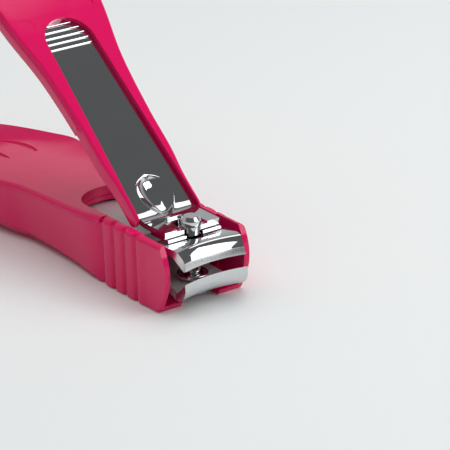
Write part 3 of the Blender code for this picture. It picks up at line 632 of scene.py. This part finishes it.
def makeTray():
    s, t = caseSize, traySize

    def outer(x, z):
        share = min(max(z / chamferHeight(x), 0), 1)
        return baseHalf(x) + share * (footHalf(x) - baseHalf(x))

    def lip(x, z):
        return footHalf(x) - s["wall"] - t["gap"]

    def room(x, z):
        slant = baseHalf(x) - 0.7 * mm + max(z - t["floor"], 0)
        return max(min(slant, lip(x, z) - t["lipWall"]), 0.8 * mm)

    tray = newPiece("clippings_tray", caseShell(
        s["rear"], s["trayFront"], lambda x: 0, chamferHeight, outer), pinkCase)
    rim = caseShell(s["rear"] + t["lipRear"], t["lipFront"], lambda x: chamferHeight(x) - 0.6 * mm,
                    lambda x: chamferHeight(x) + mm, lip)
    carve(tray, [rim], "UNION")
    carve(tray, [caseShell(s["rear"] + 3.5 * mm, 3.1 * mm, lambda x: t["floor"],
                           lambda x: 3 * chamferHeight(x) + 3 * mm, room)])
    softenEdges(tray, 0.2 * mm, 3)
    standIn(tray, "case", "gloss_plastic_pink", "case_bottom_tray")


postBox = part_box("post")
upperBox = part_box("upper_leaf")
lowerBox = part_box("lower_leaf")
leafSize = {
    "postX": (postBox[0].x + postBox[1].x) / 2,
    "rear": upperBox[0].x,
    "thick": 1.4 * mm,
    "upperTop": 13 * mm,
    "upperSlope": 0.1,
    "lowerTop": 4.3 * mm,
    "lowerSlope": 0.0226,
    "jawHalf": lowerBox[1].y,
    "upperHalf": upperBox[1].y,
    "hollow": 1.1 * mm,
    "reach": 52.1 * mm,
    "upperEdge": 9.75 * mm,
    "lowerEdge": lowerBox[1].z,
    "softEdge": 0.12 * mm,
    "rivets": (-9 * mm, -14 * mm),
    "rivetHole": 1.8 * mm,
    "upperPostHole": 2.35 * mm,
    "lowerPostHole": 1.9 * mm,
    "rearHalf": 5.6 * mm,
    "neckHalf": 6.2 * mm,
}


def lowerTop(x):
    s = leafSize
    return s["lowerTop"] + s["lowerSlope"] * (s["postX"] - x)


def bladeTop(x):
    s = leafSize
    free = s["upperTop"] - s["upperSlope"] * (s["postX"] - x)
    return max(free, lowerTop(x) + 0.3 * mm + s["thick"])


def leafMesh(rows):
    # rows hold the upper point, the lower point, the half width and how hollow the row is
    across = [i / 12 - 1 for i in range(25)]
    sections = []
    for (xUp, zUp), (xLow, zLow), half, hollow in rows:
        top = [(xUp + hollow * t * t, half * t, zUp) for t in across]
        # the ends are ground a little out of square, so they face forward
        back = half + (0.4 * mm if hollow else 0)
        under = [(xLow + hollow * t * t, back * t, zLow) for t in reversed(across)]
        sections.append(top + under)
    return loftMesh(sections)


def smoothRows(rows, steps=5):
    made = []
    keys = list(range(len(rows)))
    flat = [[r[0][0], r[0][1], r[1][0], r[1][1], r[2], r[3]] for r in rows]
    for i in range((len(rows) - 1) * steps + 1):
        t = i / steps
        v = [through(list(zip(keys, [row[k] for row in flat])), t) for k in range(6)]
        made.append(((v[0], v[1]), (v[2], v[3]), v[4], v[5]))
    return made


def markBevel(piece, test, satinTo):
    # the ground face along the edge gets its own finish
    piece.data.materials.append(edgeSteel)
    for face in piece.data.polygons:
        if test(face.center, face.normal):
            face.material_index = len(piece.data.materials) - 1
        elif face.center.x < satinTo:
            face.material_index = 1


def drill(radius, low, high, x, steps):
    return turnedMesh([(0, low), (radius, low), (radius, high), (0, high)], x, steps)


def makeUpperLeaf():
    s = leafSize
    wide = [(s["rear"], s["rearHalf"]), (0, s["rearHalf"]), (10 * mm, s["upperHalf"])]
    xs = [s["rear"] + (42 * mm - s["rear"]) * i / 40 for i in range(41)]
    flat = [((x, bladeTop(x)), (x, bladeTop(x) - s["thick"]), through(wide, x), 0) for x in xs]
    top, edge, reach = bladeTop(46.5 * mm), s["upperEdge"], s["reach"] - 0.25 * mm
    drop = top - edge
    half, wide, hollow = s["jawHalf"], s["upperHalf"], s["hollow"]
    jaw = smoothRows([
        ((reach - 6.7 * mm, top - 0.17 * mm), (reach - 6.7 * mm, top - s["thick"] - 0.17 * mm), wide, 0),
        ((reach - 5 * mm, top), (reach - 5.1 * mm, top - s["thick"]), wide, 0.1 * hollow),
        ((reach - 3.3 * mm, top + 0.14 * mm), (reach - 3.7 * mm, top - s["thick"] + 0.1 * mm), wide,
         0.65 * hollow),
        ((reach - 2.1 * mm, top + 0.02 * mm), (reach - 3.0 * mm, top - s["thick"]), 0.99 * wide, hollow),
        ((reach - 1.3 * mm, top - 0.17 * drop), (reach - 2.4 * mm, edge + 0.46 * drop), 0.97 * wide, hollow),
        ((reach - 0.75 * mm, top - 0.38 * drop), (reach - 1.8 * mm, edge + 0.28 * drop), 0.94 * wide, hollow),
        ((reach - 0.25 * mm, edge + 0.4 * drop), (reach - 1.0 * mm, edge + 0.12 * drop), half, hollow),
    ])
    tip = ((reach, edge), (reach - 0.12 * mm, edge), half, hollow)
    leaf = newPiece("upper_cutting_leaf", leafMesh(flat + jaw + [tip]), chrome)
    leaf.data.materials.append(satinSteel)
    markBevel(leaf, lambda c, n: (n.x > 0.8 and c.z < edge + 0.45 * drop or abs(n.y) > 0.7)
              and c.x > 49 * mm, 38 * mm)
    holes = [drill(s["upperPostHole"], 8 * mm, 17 * mm, s["postX"], 48)]
    for x in s["rivets"]:
        holes.append(drill(s["rivetHole"], 3 * mm, 14 * mm, x, 32))
    carve(leaf, holes)
    softenEdges(leaf, s["softEdge"], 3)
    standIn(leaf, "upper_blade", "chrome_steel", "upper_leaf")


def makeLowerLeaf():
    s = leafSize
    wide = [(s["rear"], s["rearHalf"]), (5 * mm, s["rearHalf"]), (11 * mm, s["neckHalf"])]
    xs = [s["rear"] + (44 * mm - s["rear"]) * i / 30 for i in range(31)]
    flat = [((x, lowerTop(x)), (x, lowerTop(x) - s["thick"]), through(wide, x), 0) for x in xs]
    top, edge = lowerTop(s["postX"]), s["lowerEdge"]
    low, reach = top - s["thick"], s["reach"] - 0.1 * mm
    bend, rise = reach - 3.4 * mm, edge - low
    half, hollow = s["jawHalf"], s["hollow"]
    shoulder = [
        ((bend - 2.4 * mm, top - 0.07 * mm), (bend - 2.4 * mm, low - 0.07 * mm), s["neckHalf"], 0),
        ((bend - 1.1 * mm, top - 0.1 * mm), (bend - 1.1 * mm, low - 0.1 * mm), s["neckHalf"], 0.2 * hollow),
        ((bend - 0.5 * mm, top - 0.08 * mm), (bend - 0.3 * mm, low - 0.1 * mm), 6.75 * mm, 0.8 * hollow)]
    jaw = smoothRows([
        ((bend, top), (bend + 0.2 * mm, low - 0.15 * mm), half, hollow),
        ((bend + 0.6 * mm, top + 0.4 * mm), (bend + 1.7 * mm, low + 0.08 * rise), half, hollow),
        ((bend + 1.5 * mm, top + 1.25 * mm), (bend + 2.9 * mm, low + 0.33 * rise), half, hollow),
        ((reach - 0.75 * mm, edge - 0.5 * mm), (reach + 0.05 * mm, low + 0.65 * rise), half, hollow),
    ])
    tip = ((reach - 0.12 * mm, edge), (reach, edge), half, hollow)
    leaf = newPiece("lower_cutting_leaf", leafMesh(flat + shoulder + jaw + [tip]), chrome)
    leaf.data.materials.append(satinSteel)
    markBevel(leaf, lambda c, n: n.x > 0.8 and c.z > low + 0.66 * rise
              or abs(n.y) > 0.7 and c.x > 49 * mm, 49.5 * mm)
    holes = [drill(s["lowerPostHole"], 0, 8 * mm, s["postX"], 48)]
    for x in s["rivets"]:
        holes.append(drill(s["rivetHole"], mm, 9 * mm, x, 32))
    carve(leaf, holes)
    softenEdges(leaf, s["softEdge"], 3)
    standIn(leaf, "case", "chrome_steel", "lower_leaf")


def makePost():
    x = leafSize["postX"]
    top, foot = postBox[1].z, postBox[0].z
    # a turned rivet: peened foot, plain shaft, coned head with a flat face
    profile = [(0, foot), (3.05 * mm, foot), (3.25 * mm, foot + 0.15 * mm), (3.3 * mm, foot + 0.4 * mm),
               (3.3 * mm, foot + 0.7 * mm), (3.2 * mm, foot + 0.8 * mm), (1.75 * mm, foot + 0.8 * mm),
               (1.65 * mm, foot + 0.9 * mm), (1.65 * mm, top - 2.05 * mm), (1.72 * mm, top - 1.95 * mm),
               (1.93 * mm, top - 1.9 * mm), (2 * mm, top - 1.8 * mm), (2 * mm, top - 0.85 * mm),
               (1.94 * mm, top - 0.68 * mm), (1.9 * mm, top - 0.63 * mm), (1.5 * mm, top - 0.09 * mm),
               (1.45 * mm, top - 0.03 * mm), (1.38 * mm, top), (1.3 * mm, top), (0, top)]
    post = newPiece("pivot_post_pin", turnedMesh(profile, x, 96), turnedChrome)
    evenNormals(post)
    standIn(post, "pivot_post", "chrome_steel", "post")
    low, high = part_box("post_collar")
    ring = [(1.95 * mm, low.z), (3 * mm, low.z), (3.1 * mm, low.z + 0.1 * mm), (3.1 * mm, high.z - 0.2 * mm),
            (2.95 * mm, high.z - 0.04 * mm), (2.8 * mm, high.z), (2.05 * mm, high.z),
            (1.95 * mm, high.z - 0.1 * mm)]
    collar = newPiece("pivot_post_collar", turnedMesh(ring, x, 64, True), turnedChrome)
    evenNormals(collar)
    standIn(collar, "pivot_post", "chrome_steel", "post_collar")
    for node, words in (("rear_rivet_front", "rivet_in_front"), ("rear_rivet_back", "rivet_behind")):
        rivet = tidyCopy(node, words, turnedChrome)
        softenEdges(rivet, 0.1 * mm, 3)
        standIn(rivet, "case", "chrome_steel", node)


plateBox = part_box("lever_plate")
leverSize = {
    "angle": math.radians(39.2),
    "bendX": 36.8 * mm,
    "bendZ": 15.2 * mm,
    "bendRadius": 5.5 * mm,
    "thick": 1.2 * mm,
    "forkHalf": 6.4 * mm,
    "forkFront": plateBox[1].x,
    "lipHalf": 3.6 * mm,
    "lipStep": 0.4 * mm,
    "slotHalf": 1.95 * mm,
    "slotRear": 40.4 * mm,
    "windowLength": 42.3 * mm,
    "windowEnd": 5.5 * mm,
    "windowBend": 7 * mm,
    "grooves": (41.1 * mm, 1.38 * mm, 5),
    "grooveShift": -0.02 * mm,
    "length": 81 * mm,
    "proud": 1.15 * mm,
    "armDrop": 1.75 * mm,
    "overhang": 0.8 * mm,
    "tipHalf": 7.9 * mm,
    "armHalf": 8.5 * mm,
    "paddleStart": 23 * mm,
    "paddleDrop": 3.05 * mm,
    "paddleHalf": 12.5 * mm,
    "seam": 0.06 * mm,
    "softEdge": 0.35 * mm,
    "restDepth": 0.3 * mm,
    "restRadius": 11.6 * mm,
    "restBorder": 2 * mm,
    "ejector": (47.4 * mm, -7.5 * mm, 1.5 * mm),   # the moulding's ejector mark: place and radius
}


def onLever(u, y, n):
    s = leverSize
    return (s["bendX"] - u * math.cos(s["angle"]) + n * math.sin(s["angle"]), y,
            s["bendZ"] + u * math.sin(s["angle"]) + n * math.cos(s["angle"]))


def onSheet(run, y, n):
    # along the bent steel: up the lever, round the bend's radius, then level under the post
    s = leverSize
    r, a = s["bendRadius"], s["angle"]
    tangent = r * math.tan(a / 2)
    arc = r * a
    if run > arc / 2:
        return onLever(run - arc / 2 + tangent, y, n)
    if run < -arc / 2:
        return (s["bendX"] + tangent + (-run - arc / 2), y, s["bendZ"] + n)
    turn = a * (0.5 + run / arc)
    cx, cz = s["bendX"] + tangent, s["bendZ"] + r
    return (cx - (r - n) * math.sin(turn), y, cz - (r - n) * math.cos(turn))


def windowHalf(u):
    s = leverSize
    share = min(max(u / s["windowLength"], 0), 1)
    return s["windowBend"] + (s["windowEnd"] - s["windowBend"]) * share


dimpleShape = {
    "rear": 8.95 * mm,
    "tip": -1.1 * mm,
    "deep": 1.35 * mm,
    "half": 3.75 * mm,
    "sides": [(-0.12, 0.1), (0, 0.2), (0.06, 0.5), (0.16, 0.82), (0.34, 1), (0.55, 0.94), (0.75, 0.66),
              (0.9, 0.32), (1, 0.06)],
    "floor": [(-0.12, 0), (-0.02, 0.03), (0.03, 0.24), (0.1, 0.62), (0.2, 0.88), (0.4, 1), (0.6, 0.97),
              (0.8, 0.72), (0.92, 0.33), (1, 0)],
}


def pressedDepth(run, y):
    # the teardrop: round and steep uphill, drawn to a point past the bend, with a soft shoulder
    s = dimpleShape
    t = (s["rear"] - run) / (s["rear"] - s["tip"])
    if t <= -0.12 or t >= 1:
        return 0
    half = s["half"] * through(s["sides"], t)
    level = through(s["floor"], t)
    away = abs(y) / max(half, 0.05 * mm)
    bowl = max(1 - away ** 1.9, 0)
    shoulder = 0.06 * math.exp(-(away / 1.3) ** 4)
    return s["deep"] * level * min(bowl + shoulder, 1)


def gripGroove(run):
    # one long gentle wall and one short steep one, the long wall facing up the lever
    first, pitch, count = leverSize["grooves"]
    for i in range(count):
        along = run - leverSize["grooveShift"] - first - i * pitch
        if 0 <= along <= 0.3 * mm:
            return 0.2 * along
        if 0.3 * mm < along < 0.4 * mm:
            return 0.6 * (0.4 * mm - along)
    return 0


def sheetRows(start, end):
    # close rows where the sheet is bent, pressed or grooved, and wide ones where it is flat
    rows, run = [start], start
    while run < end:
        if -6.5 * mm < run < -3.2 * mm or 10.5 * mm < run < 39 * mm:
            run += 1.5 * mm
        elif run >= 39 * mm:
            run += 0.05 * mm
        else:
            run += 0.14 * mm
        rows.append(min(run, end))
    return rows


def plateHalf(run):
    s = leverSize
    if run < -0.5 * mm:
        return s["forkHalf"]
    u = max(run, 0)
    border = ease((u - s["paddleStart"]) / (4 * mm)) * 1.3 * mm
    joined = windowHalf(u) - 0.3 * mm + border
    return s["forkHalf"] + (joined - s["forkHalf"]) * ease((run + 0.5 * mm) / (2 * mm))


def makeLeverPlate():
    s = leverSize
    start = -(s["forkFront"] - s["bendX"]) + 0.02 * mm
    end = s["windowLength"] + s["windowEnd"] + 0.9 * mm
    bm = bmesh.new()
    rows = sheetRows(start, end)
    bmesh.ops.create_grid(bm, x_segments=len(rows) - 1, y_segments=56, size=0.5)
    for vert in bm.verts:
        run = rows[round((vert.co.x + 0.5) * (len(rows) - 1))]
        y = vert.co.y * 2 * plateHalf(run)
        vert.co = onSheet(run, y, -pressedDepth(run, y) - gripGroove(run))
    faceOut(bm)
    up = max(bm.faces, key=lambda f: f.calc_center_median().z)
    if up.normal.z < 0:
        bmesh.ops.reverse_faces(bm, faces=bm.faces)
    bmesh.ops.solidify(bm, geom=bm.faces, thickness=s["thick"])
    bmesh.ops.recalc_face_normals(bm, faces=bm.faces)
    plate = newPiece("steel_lever_plate", bm, chrome)
    turns = [math.pi / 2 + math.pi * i / 24 for i in range(25)]
    slot = [(s["slotRear"] + s["slotHalf"] + s["slotHalf"] * math.cos(a), s["slotHalf"] * math.sin(a))
            for a in turns]
    front = s["forkFront"] + mm
    slot += [(front, -s["slotHalf"]), (front, s["slotHalf"])]
    tools = [pushed(slot, 10 * mm, 20 * mm, upright)]
    step = [(39.3 * mm, -1.6 * mm), (40.6 * mm, -s["lipHalf"]), (front, -s["lipHalf"]), (front, s["lipHalf"]),
            (40.6 * mm, s["lipHalf"]), (39.3 * mm, 1.6 * mm)]
    tools.append(pushed(step, s["bendZ"] - s["lipStep"], s["bendZ"] + 2 * mm, upright))
    low = s["bendZ"] - s["thick"]
    lip = s["forkFront"] + 0.8 * mm
    under = [(40.2 * mm, low + 0.1 * mm), (40.2 * mm, low - 0.75 * mm), (lip, low - 0.75 * mm),
             (lip, low - 0.22 * mm), (lip - 1.5 * mm, low - 0.22 * mm), (lip - 1.5 * mm, low + 0.1 * mm)]
    carve(plate, [pushed(under, -6.2 * mm, 6.2 * mm, sideways)], "UNION")
    carve(plate, tools)
    flatten(plate, lambda v: v.co.x > s["bendX"] + 3.6 * mm)
    softenEdges(plate, 0.16 * mm, 3, 38)
    standIn(plate, "lever", "chrome_steel", "lever_plate")


def frameHalf(u):
    s = leverSize
    end = s["length"] - s["paddleHalf"]
    width = through([
        (-s["overhang"], s["tipHalf"]), (7 * mm, s["tipHalf"]), (13 * mm, s["armHalf"] - 0.1 * mm),
        (s["paddleStart"], s["armHalf"]), (0.45 * s["length"], s["armHalf"] + 0.9 * mm),
        (0.6 * s["length"], s["paddleHalf"] - 0.9 * mm), (0.72 * s["length"], s["paddleHalf"]),
        (end, s["paddleHalf"])], u)
    if u > end:
        t = (u - end) / (s["length"] - end)
        width *= max(math.sqrt(max(1 - t * t, 0)), 0.2)
    return width


def leverStations(start, end):
    roundStart = leverSize["length"] - leverSize["paddleHalf"]
    places = [start + (roundStart - start) * i / 70 for i in range(71)]
    places += [roundStart + leverSize["paddleHalf"] * math.sin(math.pi * i / 40) for i in range(1, 21)]
    return [start] + [u for u in places if start + 0.2 * mm < u < end - 0.2 * mm] + [end]


def frameSection(u, low, high, leanLow, leanHigh, roundLow, roundHigh):
    # one slice across the frame: sides lean in from the parting line, edges are rounded
    half = frameHalf(u)
    right = []
    for k in range(4):
        a = math.pi * k / 6
        right.append((half - leanLow - roundLow * (1 - math.sin(a)), low + roundLow * (1 - math.cos(a))))
    for k in range(6):
        a = math.pi * k / 10
        right.append((half - leanHigh - roundHigh * (1 - math.cos(a)), high - roundHigh * (1 - math.sin(a))))
    return [onLever(u, y, n) for y, n in right + [(-y, n) for y, n in reversed(right)]]


def windowMesh():
    s = leverSize
    turns = [math.pi / 2 - math.pi * i / 40 for i in range(41)]
    end = [(s["windowLength"] + s["windowEnd"] * math.cos(a), s["windowEnd"] * math.sin(a)) for a in turns]
    start = -s["overhang"] - 3 * mm
    bend = s["windowBend"]
    outline = [(start, -bend), (start, bend), (0, bend)] + end + [(0, -bend)]
    return pushed(outline, -6 * mm, 6 * mm, onLever)


def makeFrameTop():
    s = leverSize
    parting = s["seam"]
    middle = (s["proud"] - s["armDrop"]) / 2
    reach = (s["proud"] + s["armDrop"]) / 2
    sections = []
    for i in range(8):
        # the arm tips are round seen from the side
        t = i / 8
        grow = math.sqrt(1 - (1 - t) ** 2) if i else 0.22
        u = -s["overhang"] + t * 1.3 * mm
        sections.append(frameSection(u, middle - reach * grow, middle + reach * grow, 0.05 * mm, 0.25 * mm,
                                     0.3 * mm * grow, 0.6 * mm * grow))
    for u in leverStations(-s["overhang"] + 1.3 * mm, s["paddleStart"]):
        sections.append(frameSection(u, -s["armDrop"], s["proud"], 0.05 * mm, 0.25 * mm, 0.3 * mm, 0.6 * mm))
    top = newPiece("lever_frame_top_shell", loftMesh(sections), pinkLever)
    paddle = loftMesh([frameSection(u, parting, s["proud"], 0, 0.25 * mm, 0.02 * mm, 0.6 * mm)
                       for u in leverStations(s["paddleStart"] - mm, s["length"])])
    carve(top, [paddle], "UNION")
    rest = []
    for i in range(25):
        a = math.radians(52 - 104 * i / 24)
        rest.append((s["windowLength"] + s["restRadius"] * math.cos(a), s["restRadius"] * math.sin(a)))
    arcCount = len(rest)
    far, near = s["length"] - s["restBorder"], 0.62 * s["length"]
    for i in range(1, 25):
        u = near + (far - near) * math.sin(math.pi * i / 48)
        rest.append((u, -max(frameHalf(u + 1.2 * mm) - s["restBorder"], 0.6 * mm)))
    rest += [(u, -y) for u, y in reversed(rest[arcCount:])]
    markX, markY, radius = s["ejector"]
    turns = [math.tau * k / 32 for k in range(32)]
    ejector = [(markX + radius * math.cos(a), markY + radius * math.sin(a)) for a in turns]
    carve(top, [windowMesh(), pushed(rest, s["proud"] - s["restDepth"], s["proud"] + 2 * mm, onLever),
                pushed(ejector, s["proud"] - 0.05 * mm, s["proud"] + mm, onLever)])
    softenEdges(top, s["softEdge"], 4, 35)
    standIn(top, "lever", "gloss_plastic_pink", "lever_frame_top")


def makeFrameBottom():
    s = leverSize
    bottom = newPiece("lever_frame_bottom_shell", loftMesh(
        [frameSection(u, -s["paddleDrop"], 0, 0.45 * mm, 0, 0.6 * mm, 0.02 * mm)
         for u in leverStations(s["paddleStart"] + 0.1 * mm, s["length"])]), pinkLever)
    outline = []
    for u in (0, 0.5 * s["paddleStart"], s["paddleStart"], s["paddleStart"] + 4 * mm, s["windowLength"]):
        outline.append((u, plateHalf(u) + 0.3 * mm))
    endHalf = outline[-1][1]
    for i in range(1, 17):
        a = math.pi / 2 * (1 - i / 16)
        outline.append((s["windowLength"] + (s["windowEnd"] + 1.4 * mm) * math.cos(a), endHalf * math.sin(a)))
    outline += [(u, -y) for u, y in reversed(outline[:-1])]
    carve(bottom, [pushed(outline, -s["thick"] - 0.3 * mm, 3 * mm, onLever)])
    softenEdges(bottom, 0.25 * mm, 3)
    standIn(bottom, "lever", "gloss_plastic_pink", "lever_frame_bottom")


makeCaseBody()
makeCover()
makeTray()
makeLowerLeaf()
makeUpperLeaf()
makePost()
makeLeverPlate()
makeFrameTop()
makeFrameBottom()


studio = {
    "floor": "E9ECEC",
    "floorRadius": 2.4,
    # wall brightness by height, the two ends first
    "sky": [(0.0, 0.06), (1.0, 0.12), (0.155, 0.07), (0.168, 0.56), (0.24, 0.48), (0.46, 0.42),
            (0.54, 0.12)],
    "skyLean": 0.5,
    # each light: place, what it points at or None for straight down, size in metres, power in watts
    "key": ((0.55, 0.42, 0.42), (0.02, 0, 0.02), (0.5, 0.5), 2.5),
    "overhead": ((-0.028, 0.168, 0.42), None, (0.17, 0.31), 0.25),
    "overheadTurn": math.radians(15.4),
    "ceiling": ((0, 0, 1.0), None, (1.6, 1.6), 9.0),
}


def makeFloor():
    bm = bmesh.new()
    bmesh.ops.create_circle(bm, cap_ends=True, segments=64, radius=studio["floorRadius"])
    bmesh.ops.translate(bm, vec=(0, 0, -0.02 * mm), verts=bm.verts)
    finish = startFinish("matt painted tabletop", {
        "Roughness": 0.75, "Specular IOR Level": 0.25, "Base Color": hexColour(studio["floor"])})
    floor = newPiece("pale_floor", bm, finish[0])


def areaLight(name, place, target, size, power):
    # with no target the light points straight down
    data = bpy.data.lights.new(name, "AREA")
    data.energy = power
    data.shape = "RECTANGLE"
    data.size, data.size_y = size
    lamp = bpy.data.objects.new(name, data)
    lamp.location = place
    if target:
        lamp.rotation_euler = (Vector(target) - Vector(place)).to_track_quat("-Z", "Y").to_euler()
    bpy.context.scene.collection.objects.link(lamp)
    return lamp


def makeSky():
    world = bpy.data.worlds.new("studio walls")
    world.use_nodes = True
    tree = world.node_tree
    tree.nodes.clear()
    place = addNode(tree, "ShaderNodeTexCoord", {})
    split = addNode(tree, "ShaderNodeSeparateXYZ", {}, [(place.outputs["Generated"], "Vector")])
    lean = addNode(tree, "ShaderNodeMath", {"operation": "MULTIPLY"}, [(split.outputs["X"], 0)])
    lean.inputs[1].default_value = studio["skyLean"]
    height = addNode(tree, "ShaderNodeMath", {}, [(split.outputs["Z"], 0), (lean.outputs[0], 1)])
    spread = addNode(tree, "ShaderNodeMapRange", {"From Min": -0.5, "From Max": 1.5},
                     [(height.outputs[0], "Value")])
    ramp = addNode(tree, "ShaderNodeValToRGB", {}, [(spread.outputs["Result"], "Fac")])
    stops = ramp.color_ramp.elements
    for i, (where, level) in enumerate(studio["sky"]):
        stop = stops[i] if i < 2 else stops.new(where)
        stop.color = (level, level * 1.01, level * 1.02, 1)
    ground = addNode(tree, "ShaderNodeBackground", {"Strength": 1.0}, [(ramp.outputs["Color"], "Color")])
    addNode(tree, "ShaderNodeOutputWorld", {}, [(ground.outputs["Background"], "Surface")])
    bpy.context.scene.world = world


makeFloor()
makeSky()
areaLight("key softbox", *studio["key"])
overhead = areaLight("overhead softbox", *studio["overhead"])
overhead.rotation_euler.z = studio["overheadTurn"]
fill = areaLight("ceiling fill", *studio["ceiling"])
fill.visible_glossy = False    # it lifts the shadows without showing in the steel
print("studio lit")

shot = {
    "distance": 500 * mm,
    "azimuth": math.radians(54.8),
    "elevation": math.radians(22),
    "roll": math.radians(-1.72),
    "lens": 205.44,
    "across": 17.17 * mm,
    "upward": 15.01 * mm,
    "about": Vector((40 * mm, -10 * mm, 0)),
}


def makeCamera():
    a, e, roll = shot["azimuth"], shot["elevation"], shot["roll"]
    level = Vector((math.cos(a), math.sin(a), 0))
    rise = Vector((-math.sin(a) * math.sin(e), math.cos(a) * math.sin(e), math.cos(e)))
    back = Vector((math.sin(a) * math.cos(e), -math.cos(a) * math.cos(e), math.sin(e)))
    right = level * math.cos(roll) + rise * math.sin(roll)
    up = rise * math.cos(roll) - level * math.sin(roll)
    data = bpy.data.cameras.new("camera")
    data.sensor_width = 36
    data.lens = shot["lens"]
    data.clip_start = 0.01
    camera = bpy.data.objects.new("camera", data)
    bpy.context.scene.collection.objects.link(camera)
    spot = shot["about"] + back * shot["distance"] + right * shot["across"] + up * shot["upward"]
    camera.matrix_world = Matrix([[right[i], up[i], back[i], spot[i]] for i in range(3)] + [[0, 0, 0, 1]])
    bpy.context.scene.camera = camera


makeCamera()
bpy.context.scene.view_settings.view_transform = "Standard"
